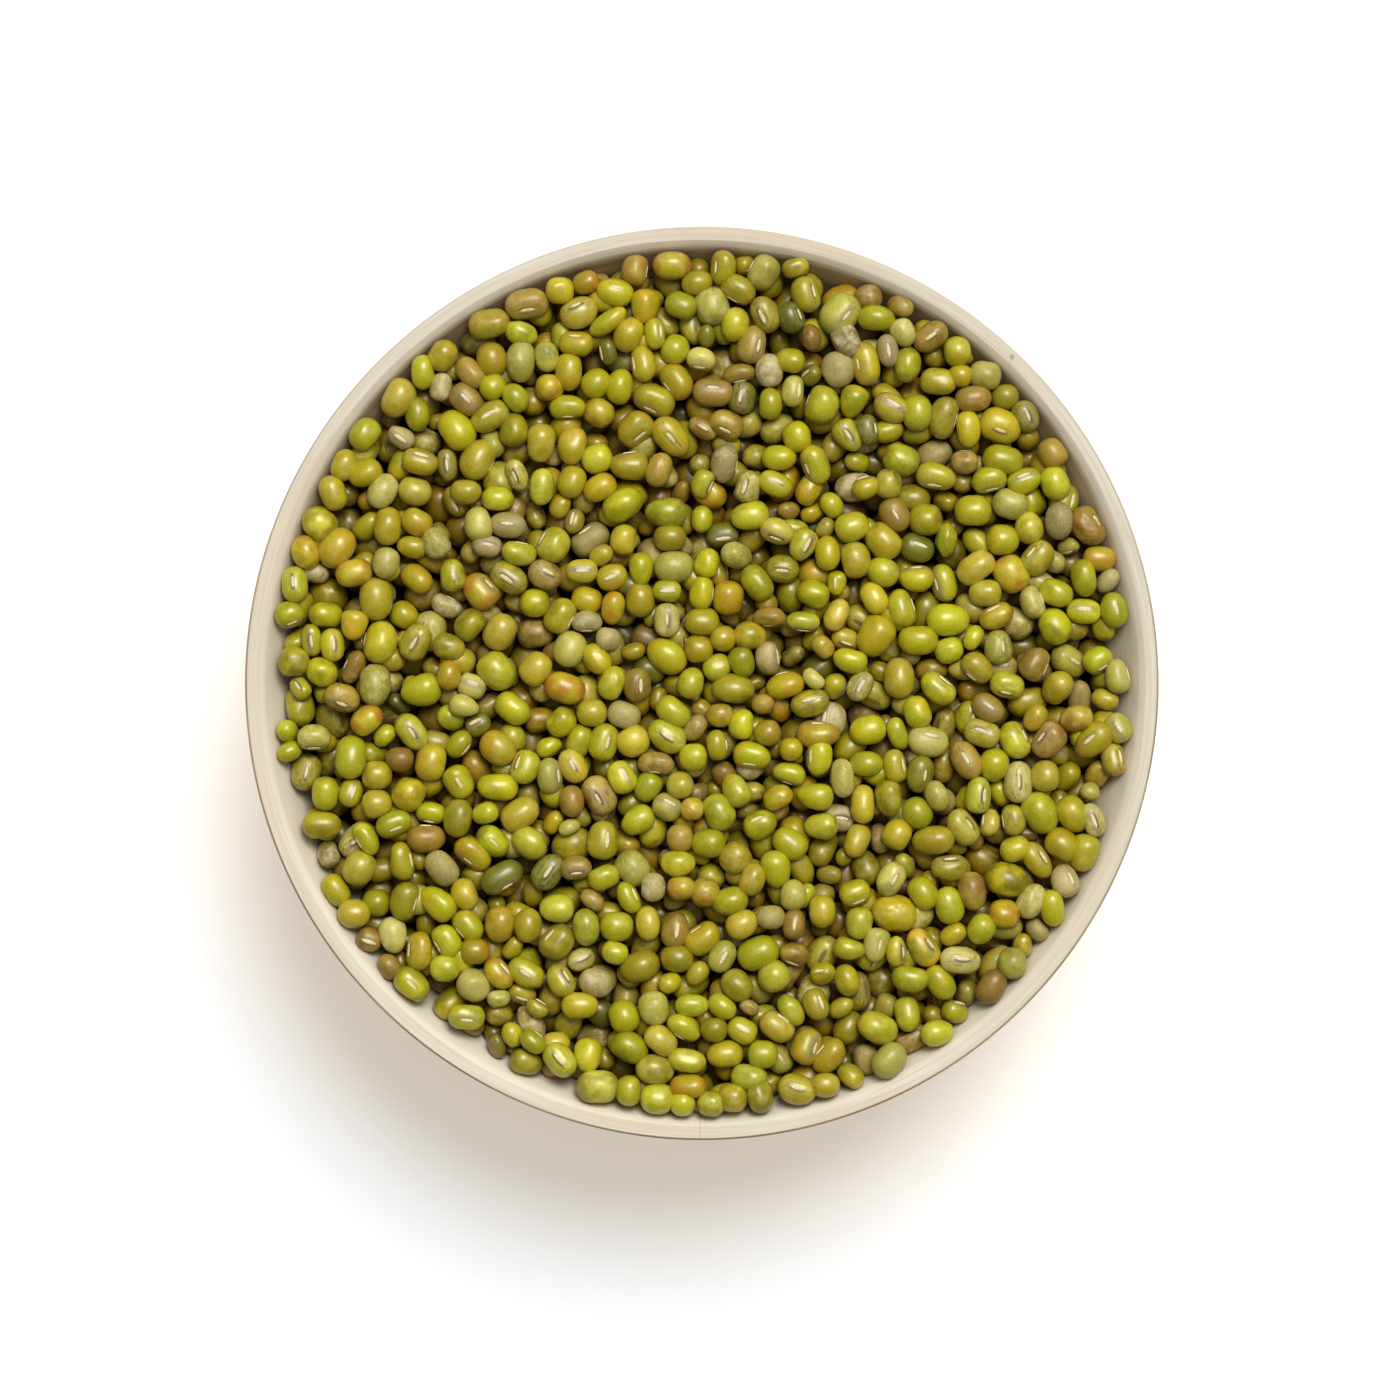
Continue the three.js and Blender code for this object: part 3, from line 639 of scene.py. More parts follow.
def bean_material(name, dust_colour, dust, stripes, roughness, gloss):
    """The seed coat of one kind of bean. place is a point in the bean's own axes, in millimetres: X along it and Z
    towards its scar. own holds three random numbers for each bean, skin and blush its two colours."""
    n = Nodes(name)
    place, own = n.attribute("place"), n.attribute("own")
    x, y, z = n.split(place)
    own_1, own_2, own_3 = n.split(own)
    # Each bean has its own stretch of the noises.
    spot = n.vector("ADD", place, n.vector("MULTIPLY", own, (57.0, 43.0, 71.0)))
    # The second colour comes in patches and at the ends.
    ends = n.product(n.ramp(n.math("ABSOLUTE", x), 1.0, 2.6), own_3, 0.3)
    patches = n.ramp(n.math("ADD", n.noise(spot, 0.42), ends), 0.38, 0.72)
    colour = n.mix(patches, n.attribute("skin", "Color"), n.attribute("blush", "Color"))
    # Fine mottling, lighter and darker.
    mottle = n.noise(spot, 2.8, 4.0, 0.65)
    light = n.ramp(mottle, 0.3, 0.7, 0.9, 1.07)
    light = n.add("ShaderNodeCombineColor", {0: light, 1: light, 2: light}).outputs[0]
    colour = n.mix(1.0, colour, light, "MULTIPLY")
    # Fine lines along the bean on the side with the scar, pale ones and dark ones.
    lines = n.noise(n.vector("MULTIPLY", spot, (0.3, 3.4, 3.4)), 1.2)
    near_scar = n.product(n.ramp(z, 0.6, 1.5), n.ramp(n.math("ABSOLUTE", y), 1.5, 0.5))
    streaked = n.product(near_scar, n.ramp(own_2, 0.25, 0.8, 0.15, stripes))
    colour = n.mix(n.product(n.ramp(lines, 0.5, 0.62), streaked), colour, dust_colour)
    colour = n.mix(n.product(n.ramp(lines, 0.42, 0.32), streaked, 0.9), colour, seen(70, 58, 30))
    # Dusty bloom in patches.
    bloom = n.noise(spot, 0.8, 4.0, 0.65)
    over = n.math("SUBTRACT", bloom, n.ramp(own_2, 0.0, 1.0, 0.72, 0.4))
    colour = n.mix(n.product(n.math("MULTIPLY", over, 5.0, clamp=True), dust), colour, dust_colour)
    # Fine grains of dust, and small dark specks on some beans.
    specks = n.noise(spot, 4.5, 3.0, 0.7)
    grains = n.product(n.ramp(specks, 0.54, 0.66), n.ramp(own_1, 0.2, 1.0, 0.0, 0.8 * dust))
    colour = n.mix(grains, colour, dust_colour)
    dark_specks = n.product(n.ramp(specks, 0.34, 0.27), n.ramp(own_1, 0.5, 1.0, 0.0, 0.7))
    colour = n.mix(dark_specks, colour, seen(70, 50, 30))
    # A dull tint round the scar, and a thin dark edge along one side of it. out is 1 a little outside the scar.
    aside = n.math("SUBTRACT", y, n.ramp(own_3, 0.45, 0.55, -0.4 * SCAR_WIDTH, 0.4 * SCAR_WIDTH))
    out = n.length(n.math("DIVIDE", x, 0.62 * SCAR_LENGTH), n.math("DIVIDE", aside, 0.62 * SCAR_WIDTH))
    scar_side = n.ramp(z, 0.5, 0.9)
    tint = n.product(n.ramp(out, 2.4, 1.2), scar_side, n.ramp(own_1, 0.3, 1.0, 0.0, 0.6))
    colour = n.mix(tint, colour, seen(128, 110, 82))
    edge = n.product(n.ramp(out, 1.15, 0.9), scar_side, n.ramp(own_2, 0.2, 0.9, 0.15, 0.7))
    colour = n.mix(edge, colour, seen(78, 60, 32))
    return n.finish({
        "Base Color": colour,
        "Roughness": n.ramp(bloom, 0.35, 0.75, roughness + 0.06, roughness + 0.22),
        "Specular IOR Level": 0.9,
        "Coat Weight": 1.68 * gloss,
        "Coat Roughness": 0.27,
        "Sheen Weight": 0.09,
        "Sheen Roughness": 0.45,
        "Sheen Tint": (1.0, 0.95, 0.82, 1.0),
        "Normal": n.bump(n.math("ADD", n.product(lines, 0.4), mottle), 0.04 * MM, 0.7),
    })


def scar_material():
    """The pale scar, with a darker slit along it."""
    n = Nodes("bean_scar")
    place = n.attribute("place")
    speckle = n.noise(place, 2.5)
    colour = n.mix(n.ramp(speckle, 0.35, 0.7), seen(190, 176, 132), seen(218, 206, 170))
    off_slit = n.math("ABSOLUTE", n.math("SUBTRACT", n.split(place)[1], 0.03))
    colour = n.mix(n.ramp(off_slit, 0.07, 0.02, 0.0, 0.35), colour, seen(176, 156, 112))
    return n.finish({"Base Color": colour, "Roughness": n.ramp(speckle, 0.2, 0.8, 0.6, 0.75)})


def core_material():
    """Dark colour for the depth between the beans: painted shade in place of the lower beans."""
    n = Nodes("bean_core_painted_shade")
    patches = n.noise(n.place(), 300.0)
    return n.finish({
        "Base Color": n.mix(patches, srgb(46, 32, 14), srgb(76, 64, 24)),
        "Roughness": n.ramp(patches, 0.2, 0.8, 0.6, 0.8),
    })


def floor_material():
    """A white floor, painted warmer near the bowl as painted bounce light from its wood, with a faint glow, warmer near
    the bowl, as painted light that lifts its shadow.
    """
    n = Nodes("white_floor")
    far = n.ramp_mm(n.vector("LENGTH", n.place(), output="Value"), 1.05 * RIM_RADIUS, 1.5 * RIM_RADIUS)
    return n.finish({
        "Base Color": n.mix(far, (0.81, 0.797, 0.78, 1), (0.67, 0.686, 0.71, 1)),
        # Painted light: the floor glows faintly, and more warmly near the bowl.
        "Emission Color": n.mix(far, (1, 0.89, 0.77, 1), (0.87, 0.9, 0.93, 1)),
        "Emission Strength": 0.2,
        "Roughness": 0.9,
        "Specular IOR Level": 0.0,
    })


# ---------------------------------------------------------------- the bowl

def wall_arc(top, end, lean_degrees, steps):
    """(radius, height) points of a wall from its top down, as an arc that leans out by the given angle at the top."""
    lean = math.radians(lean_degrees)
    chord = math.hypot(top[0] - end[0], top[1] - end[1])
    turn = 2 * (math.atan2(top[0] - end[0], top[1] - end[1]) - lean)
    arc = chord / (2 * math.sin(turn / 2))
    angle = lean + turn * np.arange(steps + 1) / steps
    return np.stack([
        top[0] + arc * (np.cos(angle) - math.cos(lean)),
        top[1] - arc * (np.sin(angle) - math.sin(lean)),
    ], 1)


INSIDE = wall_arc(
    (RIM_RADIUS - RIM_WIDTH - LIP, BOWL_HEIGHT - LIP), (FLOOR_RADIUS, FLOOR_HEIGHT), INSIDE_LEAN, WALL_STEPS
)
OUTSIDE = wall_arc(
    (RIM_RADIUS, BOWL_HEIGHT - EDGE_ROUND), (FOOT_RADIUS, FOOT_HEIGHT), OUTSIDE_LEAN, WALL_STEPS
)
LIP_BOTTOM = INSIDE[0]


def make_bowl(material):
    """The bowl. Points close beside an edge keep the faces next to it flat under the smooth shading."""
    ring_inside = FOOT_RADIUS - FOOT_RING_WIDTH
    edge = np.linspace(0, math.pi / 2, 6)
    rim_inside = RIM_RADIUS - RIM_WIDTH
    profile = np.vstack([
        [(0, FOOT_RECESS), (ring_inside - 0.3, FOOT_RECESS), (ring_inside - 0.1, FOOT_RECESS - 0.1)],
        [(ring_inside, FOOT_ROUND), (ring_inside + FOOT_ROUND, 0), (ring_inside + 0.5, 0)],
        [(FOOT_RADIUS - 0.5, 0), (FOOT_RADIUS - FOOT_ROUND, 0), (FOOT_RADIUS, FOOT_ROUND)],
        [(FOOT_RADIUS, FOOT_HEIGHT - 0.3)],
        OUTSIDE[-2::-1],
        np.stack([
            RIM_RADIUS - EDGE_ROUND * (1 - np.cos(edge)),
            BOWL_HEIGHT - EDGE_ROUND * (1 - np.sin(edge)),
        ], 1)[1:],
        [(RIM_RADIUS - EDGE_ROUND - 0.05, BOWL_HEIGHT)],
        [(rim_inside + 0.12, BOWL_HEIGHT), (rim_inside + 0.03, BOWL_HEIGHT - 0.02)],
        [(rim_inside - 0.07, BOWL_HEIGHT - 0.08), (rim_inside - 0.4, BOWL_HEIGHT - 0.41)],
        [(LIP_BOTTOM[0] + 0.06, LIP_BOTTOM[1] + 0.06), (LIP_BOTTOM[0], LIP_BOTTOM[1] - 0.02)],
        INSIDE[1:],
        [(0, FLOOR_HEIGHT)],
    ])
    bowl = make_piece("wooden_bowl", *turned(profile, BOWL_AROUND), material)
    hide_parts("bowl")
    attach(bowl, "root")


def inner_wall_height(radius):
    """Height of the bowl's inside at a distance from its axis."""
    return np.interp(radius, INSIDE[::-1, 0], INSIDE[::-1, 1])


# ---------------------------------------------------------------- the heap

def heap_top(x, y):
    """Height of the beans' backs at a place."""
    crown = HEAP_CROWN * (1 - (x**2 + y**2) / RIM_RADIUS**2)
    return HEAP_EDGE + crown + HEAP_SADDLE * (y**2 - x**2) / RIM_RADIUS**2


def core_top(radius):
    """Height of the core at a distance from the axis."""
    return HEAP_EDGE - HEAP_DEPTH + HEAP_CROWN * (1 - (radius / RIM_RADIUS) ** 2)


def rotation(turn, slope, roll):
    """A bean's axes: rolled about its length, then tilted, then turned about the vertical."""
    ct, st, cs, ss, cr, sr = (f(angle) for angle in (turn, slope, roll) for f in (math.cos, math.sin))
    about_z = np.array([[ct, -st, 0], [st, ct, 0], [0, 0, 1]])
    about_y = np.array([[cs, 0, ss], [0, 1, 0], [-ss, 0, cs]])
    about_x = np.array([[1, 0, 0], [0, cr, -sr], [0, sr, cr]])
    return about_z @ about_y @ about_x


FULL_AFTER = 250  # random beans in a row that find no room
STARTS = 40  # places that a random bean is offered; it starts from the lowest
TRIES = 3  # ways that a random bean is turned; it keeps the one that lies lowest
OUT_OF_REACH = 1000.0  # height that stands for no bean


class HeightField:
    """The top of what lies in the bowl, on a square grid, on which beans settle one by one."""

    CELL = 0.3
    REACH = 2  # cells that a bean may roll in one step

    def __init__(self):
        half = int(RIM_RADIUS / self.CELL) + 12
        self.line = np.arange(-half, half + 1) * self.CELL
        x, y = np.meshgrid(self.line, self.line, indexing="ij")
        radius = np.hypot(x, y)
        self.top = heap_top(x, y)
        self.height = np.maximum(inner_wall_height(radius), core_top(radius))
        self.height[radius > LIP_BOTTOM[0] + 0.2] = 2 * BOWL_HEIGHT
        self.owner = np.full(radius.shape, -1)
        self.open = np.argwhere(radius < LIP_BOTTOM[0] - START_CLEAR)

    def footprint(self, semi, axes):
        """The underside and the back of an ellipsoid over the cells that it covers, from its centre."""
        shape = axes @ np.diag(1 / semi**2) @ axes.T
        reach = np.sqrt(np.diag(axes @ np.diag(semi**2) @ axes.T))
        nx, ny = int(reach[0] / self.CELL) + 1, int(reach[1] / self.CELL) + 1
        x, y = np.meshgrid(
            np.arange(-nx, nx + 1) * self.CELL, np.arange(-ny, ny + 1) * self.CELL, indexing="ij"
        )
        b = shape[0, 2] * x + shape[1, 2] * y
        c = shape[0, 0] * x * x + 2 * shape[0, 1] * x * y + shape[1, 1] * y * y - 1
        inside = b * b - shape[2, 2] * c
        root = np.sqrt(np.maximum(inside, 0))
        under = np.where(inside > 0, (-b - root) / shape[2, 2], OUT_OF_REACH)
        back = np.where(inside > 0, (-b + root) / shape[2, 2], -OUT_OF_REACH)
        return nx, ny, under, back, reach[2]

    def cell_at(self, x, y):
        return tuple(int(round((v - self.line[0]) / self.CELL)) for v in (x, y))

    def settle(self, start, foot, steps=14):
        """Rolls a bean from a cell to the lowest place near it. Returns (cell, height of its centre)."""
        nx, ny, under, _, _ = foot
        far_x, far_y = nx + self.REACH, ny + self.REACH
        last = len(self.line) - 1
        i, j = start
        for _ in range(steps):
            i = min(max(i, far_x), last - far_x)
            j = min(max(j, far_y), last - far_y)
            near = self.height[i - far_x : i + far_x + 1, j - far_y : j + far_y + 1]
            windows = np.lib.stride_tricks.sliding_window_view(near, under.shape)
            rests = (windows - under).max(axis=(2, 3))
            di, dj = np.unravel_index(np.argmin(rests), rests.shape)
            if di == self.REACH and dj == self.REACH:
                break
            i += int(di) - self.REACH
            j += int(dj) - self.REACH
        return (i, j), rests.min()

    def window(self, cell, foot):
        """The cells that a footprint covers."""
        return tuple(slice(middle - reach, middle + reach + 1) for middle, reach in zip(cell, foot))

    def lay(self, cell, height, foot, number):
        """Puts the bean of that number on what is there."""
        window, back = self.window(cell, foot), foot[3]
        over = height + back > self.height[window]
        self.height[window] = np.where(over, height + back, self.height[window])
        self.owner[window] = np.where(over, number, self.owner[window])

    def shown(self, count):
        """How many cells of each bean show from above."""
        return np.bincount(self.owner[self.owner >= 0], minlength=count)

    def hides(self, cell, height, foot, may_hide):
        """Whether a bean would cover more cells of another than may_hide has for that one."""
        window = self.window(cell, foot)
        owner = self.owner[window]
        over = (height + foot[3] > self.height[window]) & (owner >= 0)
        return bool((np.bincount(owner[over], minlength=len(may_hide))[: len(may_hide)] > may_hide).any())


def random_size():
    """A bean's three semi-axes: half its length, width and thickness."""
    if RNG.random() < SMALL_BEANS:
        length = RNG.uniform(*SMALL_LENGTH)
    else:
        length = min(RNG.normal(BEAN_LENGTH, BEAN_LENGTH_SPREAD), BEAN_LONGEST)
    width = length / np.clip(RNG.normal(BEAN_RATIO, BEAN_RATIO_SPREAD), *BEAN_RATIOS)
    return np.array([length, width, width * RNG.uniform(*BEAN_THICKNESS)]) / 2


def random_axes():
    """A bean's axes: X along it and Z towards its scar."""
    steep = RNG.random() < STEEP_BEANS
    slope = RNG.uniform(-STEEPEST, STEEPEST) if steep else RNG.normal(0, SLOPE_SPREAD)
    axes = rotation(RNG.uniform(0, math.pi), slope, RNG.uniform(0, 2 * math.pi))
    scar_up = axes[2, 2] > 0.2
    if scar_up and RNG.random() < FLAT_SIDE_DOWN:
        axes[:, 1:] *= -1
    return axes


def fill_heap(field, beans, depth, may_hide=None):
    """Settles random beans until they reach the heap's top less a depth."""
    refused = 0
    while refused < FULL_AFTER:
        semi = random_size()
        picks = field.open[RNG.integers(0, len(field.open), STARTS)]
        level = field.height[picks[:, 0], picks[:, 1]] - field.top[picks[:, 0], picks[:, 1]]
        start = picks[np.argmin(level)]
        best = None
        for _ in range(TRIES):
            axes = random_axes()
            foot = field.footprint(semi, axes)
            cell, height = field.settle(start, foot)
            if best is None or height < best[1]:
                best = (cell, height, foot, axes)
        cell, height, foot, axes = best
        too_high = height + foot[4] > field.top[cell] - depth + RNG.normal(0, HEAP_UNEVEN)
        if too_high or (may_hide is not None and field.hides(cell, height, foot, may_hide)):
            refused += 1
            continue
        refused = 0
        field.lay(cell, height, foot, len(beans))
        place = np.array([field.line[cell[0]], field.line[cell[1]], height])
        beans.append({"place": place, "semi": semi, "axes": axes})


def place_bean(field, beans, kind, spot):
    """Lays one of the placed beans at its pixel."""
    size = np.array([spot["long"], spot["wide"], spot["wide"] * RNG.uniform(*PLACED_THICKNESS)])
    semi = size / 2 / PX_PER_MM * PLACED_GROW
    hidden = spot["scar"] is None
    roll = math.pi + RNG.normal(0, HIDDEN_SCAR_SPREAD) if hidden else -math.radians(spot["scar"])
    axes = rotation(math.radians(spot["turn"]), RNG.normal(0, PLACED_SLOPE_SPREAD), roll)
    x, y = at_pixel(spot["px"], spot["py"], HEAP_EDGE - semi[2])
    # A bean that would reach into the wall moves in.
    radius = math.hypot(x, y)
    outward = np.array([x, y]) / radius
    reach_out = math.sqrt(outward @ (axes @ np.diag(semi**2) @ axes.T)[:2, :2] @ outward)
    inward = min(1.0, (LIP_BOTTOM[0] - PLACED_CLEAR - reach_out) / radius)
    x, y = x * inward, y * inward
    cell = field.cell_at(x, y)
    hard_foot = field.footprint(semi * PLACED_SINK, axes)
    rest = (field.height[field.window(cell, hard_foot)] - hard_foot[2]).max()
    foot = field.footprint(semi, axes)
    level = field.top[cell] - foot[4]
    height = min(max(rest, level - PLACED_UNEVEN), level + PLACED_UNEVEN)
    field.lay(cell, height, foot, len(beans))
    beans.append({
        "place": np.array([x, y, height]), "semi": semi, "axes": axes, "kind": kind, "wrinkled": spot["wrinkled"],
    })


def pile_beans():
    """Beans as dicts with place, semi-axes and axes, and how many square millimetres of each show from above. First
    come random ones up to a depth, then the placed ones, the small before the large, and then random ones in the
    room that is left."""
    field = HeightField()
    beans = []
    fill_heap(field, beans, UNDER_PLACED)
    under = len(beans)
    spots = [(kind, spot) for kind, spots in PLACED.items() for spot in spots]
    for kind, spot in sorted(spots, key=lambda pair: pair[1]["long"] * pair[1]["wide"]):
        place_bean(field, beans, kind, spot)
    may_hide = MAY_HIDE * field.shown(len(beans))
    may_hide[:under] = np.inf
    fill_heap(field, beans, 0.0, may_hide)
    for bean, cells in zip(beans, field.shown(len(beans))):
        bean["shown"] = cells * field.CELL**2
    return beans


# ---------------------------------------------------------------- one bean

class BeanGrid:
    """Vertices of a closed bean as angles: polar from one end to the other, and round its length."""

    def __init__(self, along, around):
        polar = math.pi * np.arange(1, along) / along
        turn = 2 * math.pi * np.arange(around) / around
        self.polar = np.concatenate([[0], np.repeat(polar, around), [math.pi]])
        self.turn = np.concatenate([[0], np.tile(turn, along - 1), [0]])
        triangles, uv = closed_grid(around, np.arange(along + 1) / along)
        # The ends run the other way than a turned solid's, so the faces are turned over.
        self.triangles = triangles[:, [0, 2, 1]]
        self.uv = uv[:, [0, 1, 4, 5, 2, 3]]


class ScarGrid:
    """An oval patch on the bean's scar side, as shares of its half length and half width, with a height."""

    def __init__(self, around=14):
        turn = 2 * math.pi * np.arange(around) / around
        rings = [(0.45, 0.85), (0.8, 0.6), (1.0, -0.35)]  # (how far out, how high)
        self.along = np.concatenate([[0]] + [r * np.cos(turn) for r, _ in rings])
        self.across = np.concatenate([[0]] + [r * np.sin(turn) for r, _ in rings])
        self.rise = np.concatenate([[0.8]] + [np.full(around, h) for _, h in rings])
        triangles = []
        for j in range(around):
            k = (j + 1) % around
            triangles.append((0, 1 + j, 1 + k))
            for i in range(len(rings) - 1):
                a, b = 1 + i * around, 1 + (i + 1) * around
                triangles.append((a + j, b + j, b + k))
                triangles.append((a + j, b + k, a + k))
        self.triangles = np.array(triangles)
        corner = self.triangles.ravel()
        self.uv = np.stack([0.5 + self.along[corner] / 2, 0.5 + self.across[corner] / 2], 1).reshape(-1, 6)


def random_form(crinkle=0.0):
    """What makes one bean's shape differ from the next."""
    flats = []
    for _ in range(RNG.choice([0, 1, 2], p=[0.45, 0.35, 0.2])):
        facing = RNG.normal(size=3) * (0.5, 1, 1)
        flats.append((facing / np.linalg.norm(facing), RNG.uniform(0.82, 0.95)))
    return {
        "square": RNG.uniform(2.2, 3.2),  # how blunt the ends are
        "bend": RNG.uniform(0.0, 0.22),
        "taper": RNG.normal(0, 0.05) + (RNG.uniform(0.1, 0.22) if RNG.random() < 0.05 else 0.0),
        "flat": RNG.uniform(0.0, 0.14),  # of the side with the scar
        "waves": RNG.normal(0, 0.013, 4),
        "phase": RNG.uniform(0, 2 * math.pi, 4),
        "flats": flats,  # where other beans pressed it
        "crinkle": crinkle,
    }


def bean_surface(polar, turn, semi, form):
    """Points of a bean in its own axes, in millimetres: X along it and Z towards its scar."""
    along = np.sign(np.cos(polar)) * np.abs(np.cos(polar)) ** (2 / form["square"])
    out = np.sin(polar) * (1 + form["taper"] * along)
    for k, (wave, phase) in enumerate(zip(form["waves"], form["phase"])):
        out = out * (1 + wave * np.cos((k + 1) * turn + phase) * np.cos((k % 2 + 1) * polar + phase))
    if form["crinkle"]:
        folds = np.zeros_like(out)
        for k, phase in enumerate(form["phase"]):
            twist = (3 + k) * turn + 1.8 * np.sin(3 * polar + phase) + phase
            folds += np.abs(np.sin(twist + (1.5 * k + 2.5) * polar)) / len(form["phase"])
        out = out * (1 + form["crinkle"] * (0.6 - folds) * np.sin(polar) ** 0.5)
    across = out * np.cos(turn)
    up = out * np.sin(turn)
    up = np.where(up > 0, up * (1 - form["flat"]), up)
    up = up + form["bend"] * (along**2 - 0.35) * np.sin(polar)
    points = np.stack([along, across, up], -1)
    for facing, reach in form["flats"]:
        over = np.maximum(points @ facing - reach, 0)
        points = points - 0.8 * over[:, None] * facing
    return points * semi


def bean_scar(grid, semi, form, size):
    """Points of the scar, raised from the bean's surface, in its own axes."""
    x = grid.along * SCAR_LENGTH * size / 2
    y = grid.across * SCAR_WIDTH * size / 2
    polar = np.arccos(np.sign(x) * np.minimum(np.abs(x / semi[0]), 0.98) ** (form["square"] / 2))
    turn = math.pi / 2 - y / (semi[1] * np.sin(polar))
    points = bean_surface(polar, turn, semi, form)
    points[:, 2] += SCAR_HEIGHT * grid.rise
    return points


# ---------------------------------------------------------------- beans by kind

# share is of the random beans. A bean's skin and blush are each a mix of two of the given colours.
KINDS = {
    "green_beans": dict(
        share=0.32,
        skins=[seen(154, 151, 2), seen(162, 156, 2), seen(142, 144, 2)],
        blushes=[seen(166, 148, 4), seen(132, 128, 2), seen(162, 160, 26)],
        coat=dict(dust_colour=seen(188, 184, 92), dust=0.3, stripes=0.5, roughness=0.38, gloss=0.5),
    ),
    "olive_beans": dict(
        share=0.31,
        skins=[seen(150, 138, 2), seen(136, 128, 2), seen(160, 146, 10)],
        blushes=[seen(164, 132, 14), seen(112, 102, 2), seen(164, 152, 36)],
        coat=dict(dust_colour=seen(174, 162, 90), dust=0.4, stripes=0.7, roughness=0.4, gloss=0.45),
    ),
    "golden_beans": dict(
        share=0.13,
        skins=[seen(162, 145, 4), seen(152, 134, 4), seen(167, 151, 18)],
        blushes=[seen(156, 108, 4), seen(160, 142, 6), seen(170, 152, 42)],
        coat=dict(dust_colour=seen(186, 166, 98), dust=0.3, stripes=0.4, roughness=0.38, gloss=0.5),
    ),
    "pale_beans": dict(
        share=0.11,
        skins=[seen(158, 152, 56), seen(164, 155, 66), seen(148, 144, 42)],
        blushes=[seen(172, 162, 86), seen(148, 134, 40), seen(138, 136, 40)],
        coat=dict(dust_colour=seen(192, 180, 120), dust=0.6, stripes=0.8, roughness=0.48, gloss=0.3),
    ),
    "dusty_beans": dict(
        share=0.05,
        skins=[seen(154, 142, 84), seen(144, 132, 72), seen(158, 140, 88)],
        blushes=[seen(126, 112, 58), seen(164, 154, 104), seen(136, 122, 54)],
        coat=dict(dust_colour=seen(182, 170, 130), dust=0.8, stripes=0.7, roughness=0.55, gloss=0.1),
    ),
    "dark_beans": dict(
        share=0.04,
        skins=[seen(108, 106, 10), seen(94, 96, 8)],
        blushes=[seen(120, 108, 14), seen(86, 86, 8)],
        coat=dict(dust_colour=seen(148, 142, 82), dust=0.5, stripes=0.8, roughness=0.4, gloss=0.45),
    ),
    "brown_beans": dict(
        share=0.04,
        skins=[seen(140, 109, 28), seen(122, 91, 20), seen(146, 119, 38)],
        blushes=[seen(108, 77, 18), seen(150, 129, 38), seen(134, 110, 24)],
        coat=dict(dust_colour=seen(170, 152, 98), dust=0.5, stripes=0.7, roughness=0.44, gloss=0.3),
    ),
}
WRINKLED = 0.03  # share of the beans with a shrunken coat
CRINKLE = (0.2, 0.32)  # depth of its folds, as a share of the bean's thickness
SKIN_SPREAD, BLUSH_SPREAD = 0.1, 0.12  # how much lighter or darker a bean may be
SCAR_SIZES = (0.8, 1.15)
SCAR_UP = -0.35  # how far up a scar has to look to be made; 1 is straight up

SEEN_FROM = 0.9  # square millimetres shown from above, for a bean that gets the finer mesh
FINE_GRID = BeanGrid(13, 18)
PLAIN_GRID = BeanGrid(8, 10)
WRINKLED_GRID = BeanGrid(22, 30)
SCAR_GRID = ScarGrid()


def atlas(uv, number, per_side):
    """A bean's corner uv moved to its own square of the piece's map."""
    margin = 0.04
    corner = np.array([number % per_side, number // per_side])
    return (corner + margin + uv.reshape(-1, 2) * (1 - 2 * margin)) / per_side


def join_beans(name, material, parts):
    """One piece from a list of dicts, each with a grid, points in the frame and data for its vertices."""
    per_side = math.ceil(math.sqrt(len(parts)))
    sizes = [len(part["points"]) for part in parts]
    starts = np.concatenate([[0], np.cumsum(sizes)[:-1]])
    spread = lambda key: np.repeat(np.array([part[key] for part in parts]), sizes, axis=0)
    piece = make_piece(
        name,
        np.vstack([part["points"] for part in parts]),
        np.vstack([part["grid"].triangles + start for part, start in zip(parts, starts)]),
        np.vstack([atlas(part["grid"].uv, number, per_side) for number, part in enumerate(parts)]),
        material,
        [
            ("place", "FLOAT_VECTOR", np.vstack([part["local"] for part in parts])),
            ("own", "FLOAT_VECTOR", spread("own")),
            ("skin", "FLOAT_COLOR", spread("skin")),
            ("blush", "FLOAT_COLOR", spread("blush")),
        ],
    )
    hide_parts("beans")
    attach(piece, "root")


def mixed_colour(colours, spread):
    """A random colour between two of the given ones, a little lighter or darker."""
    first, second = (np.array(colours[RNG.integers(len(colours))]) for _ in range(2))
    colour = first + RNG.random() * (second - first)
    colour[:3] *= np.exp(RNG.normal(0, spread))
    return colour


def painted_depth_shade(bean):
    """What a bean's colours are multiplied by: painted shade, browner and darker the deeper it lies."""
    reach = math.sqrt((bean["axes"] @ np.diag(bean["semi"] ** 2) @ bean["axes"].T)[2, 2])
    depth = heap_top(*bean["place"][:2]) - bean["place"][2] - reach
    light = np.clip(LIGHT_AT_TOP - LIGHT_LOST * depth, LEAST_LIGHT, 1.0)
    return np.array([*light**DEEP_POWERS, 1.0])


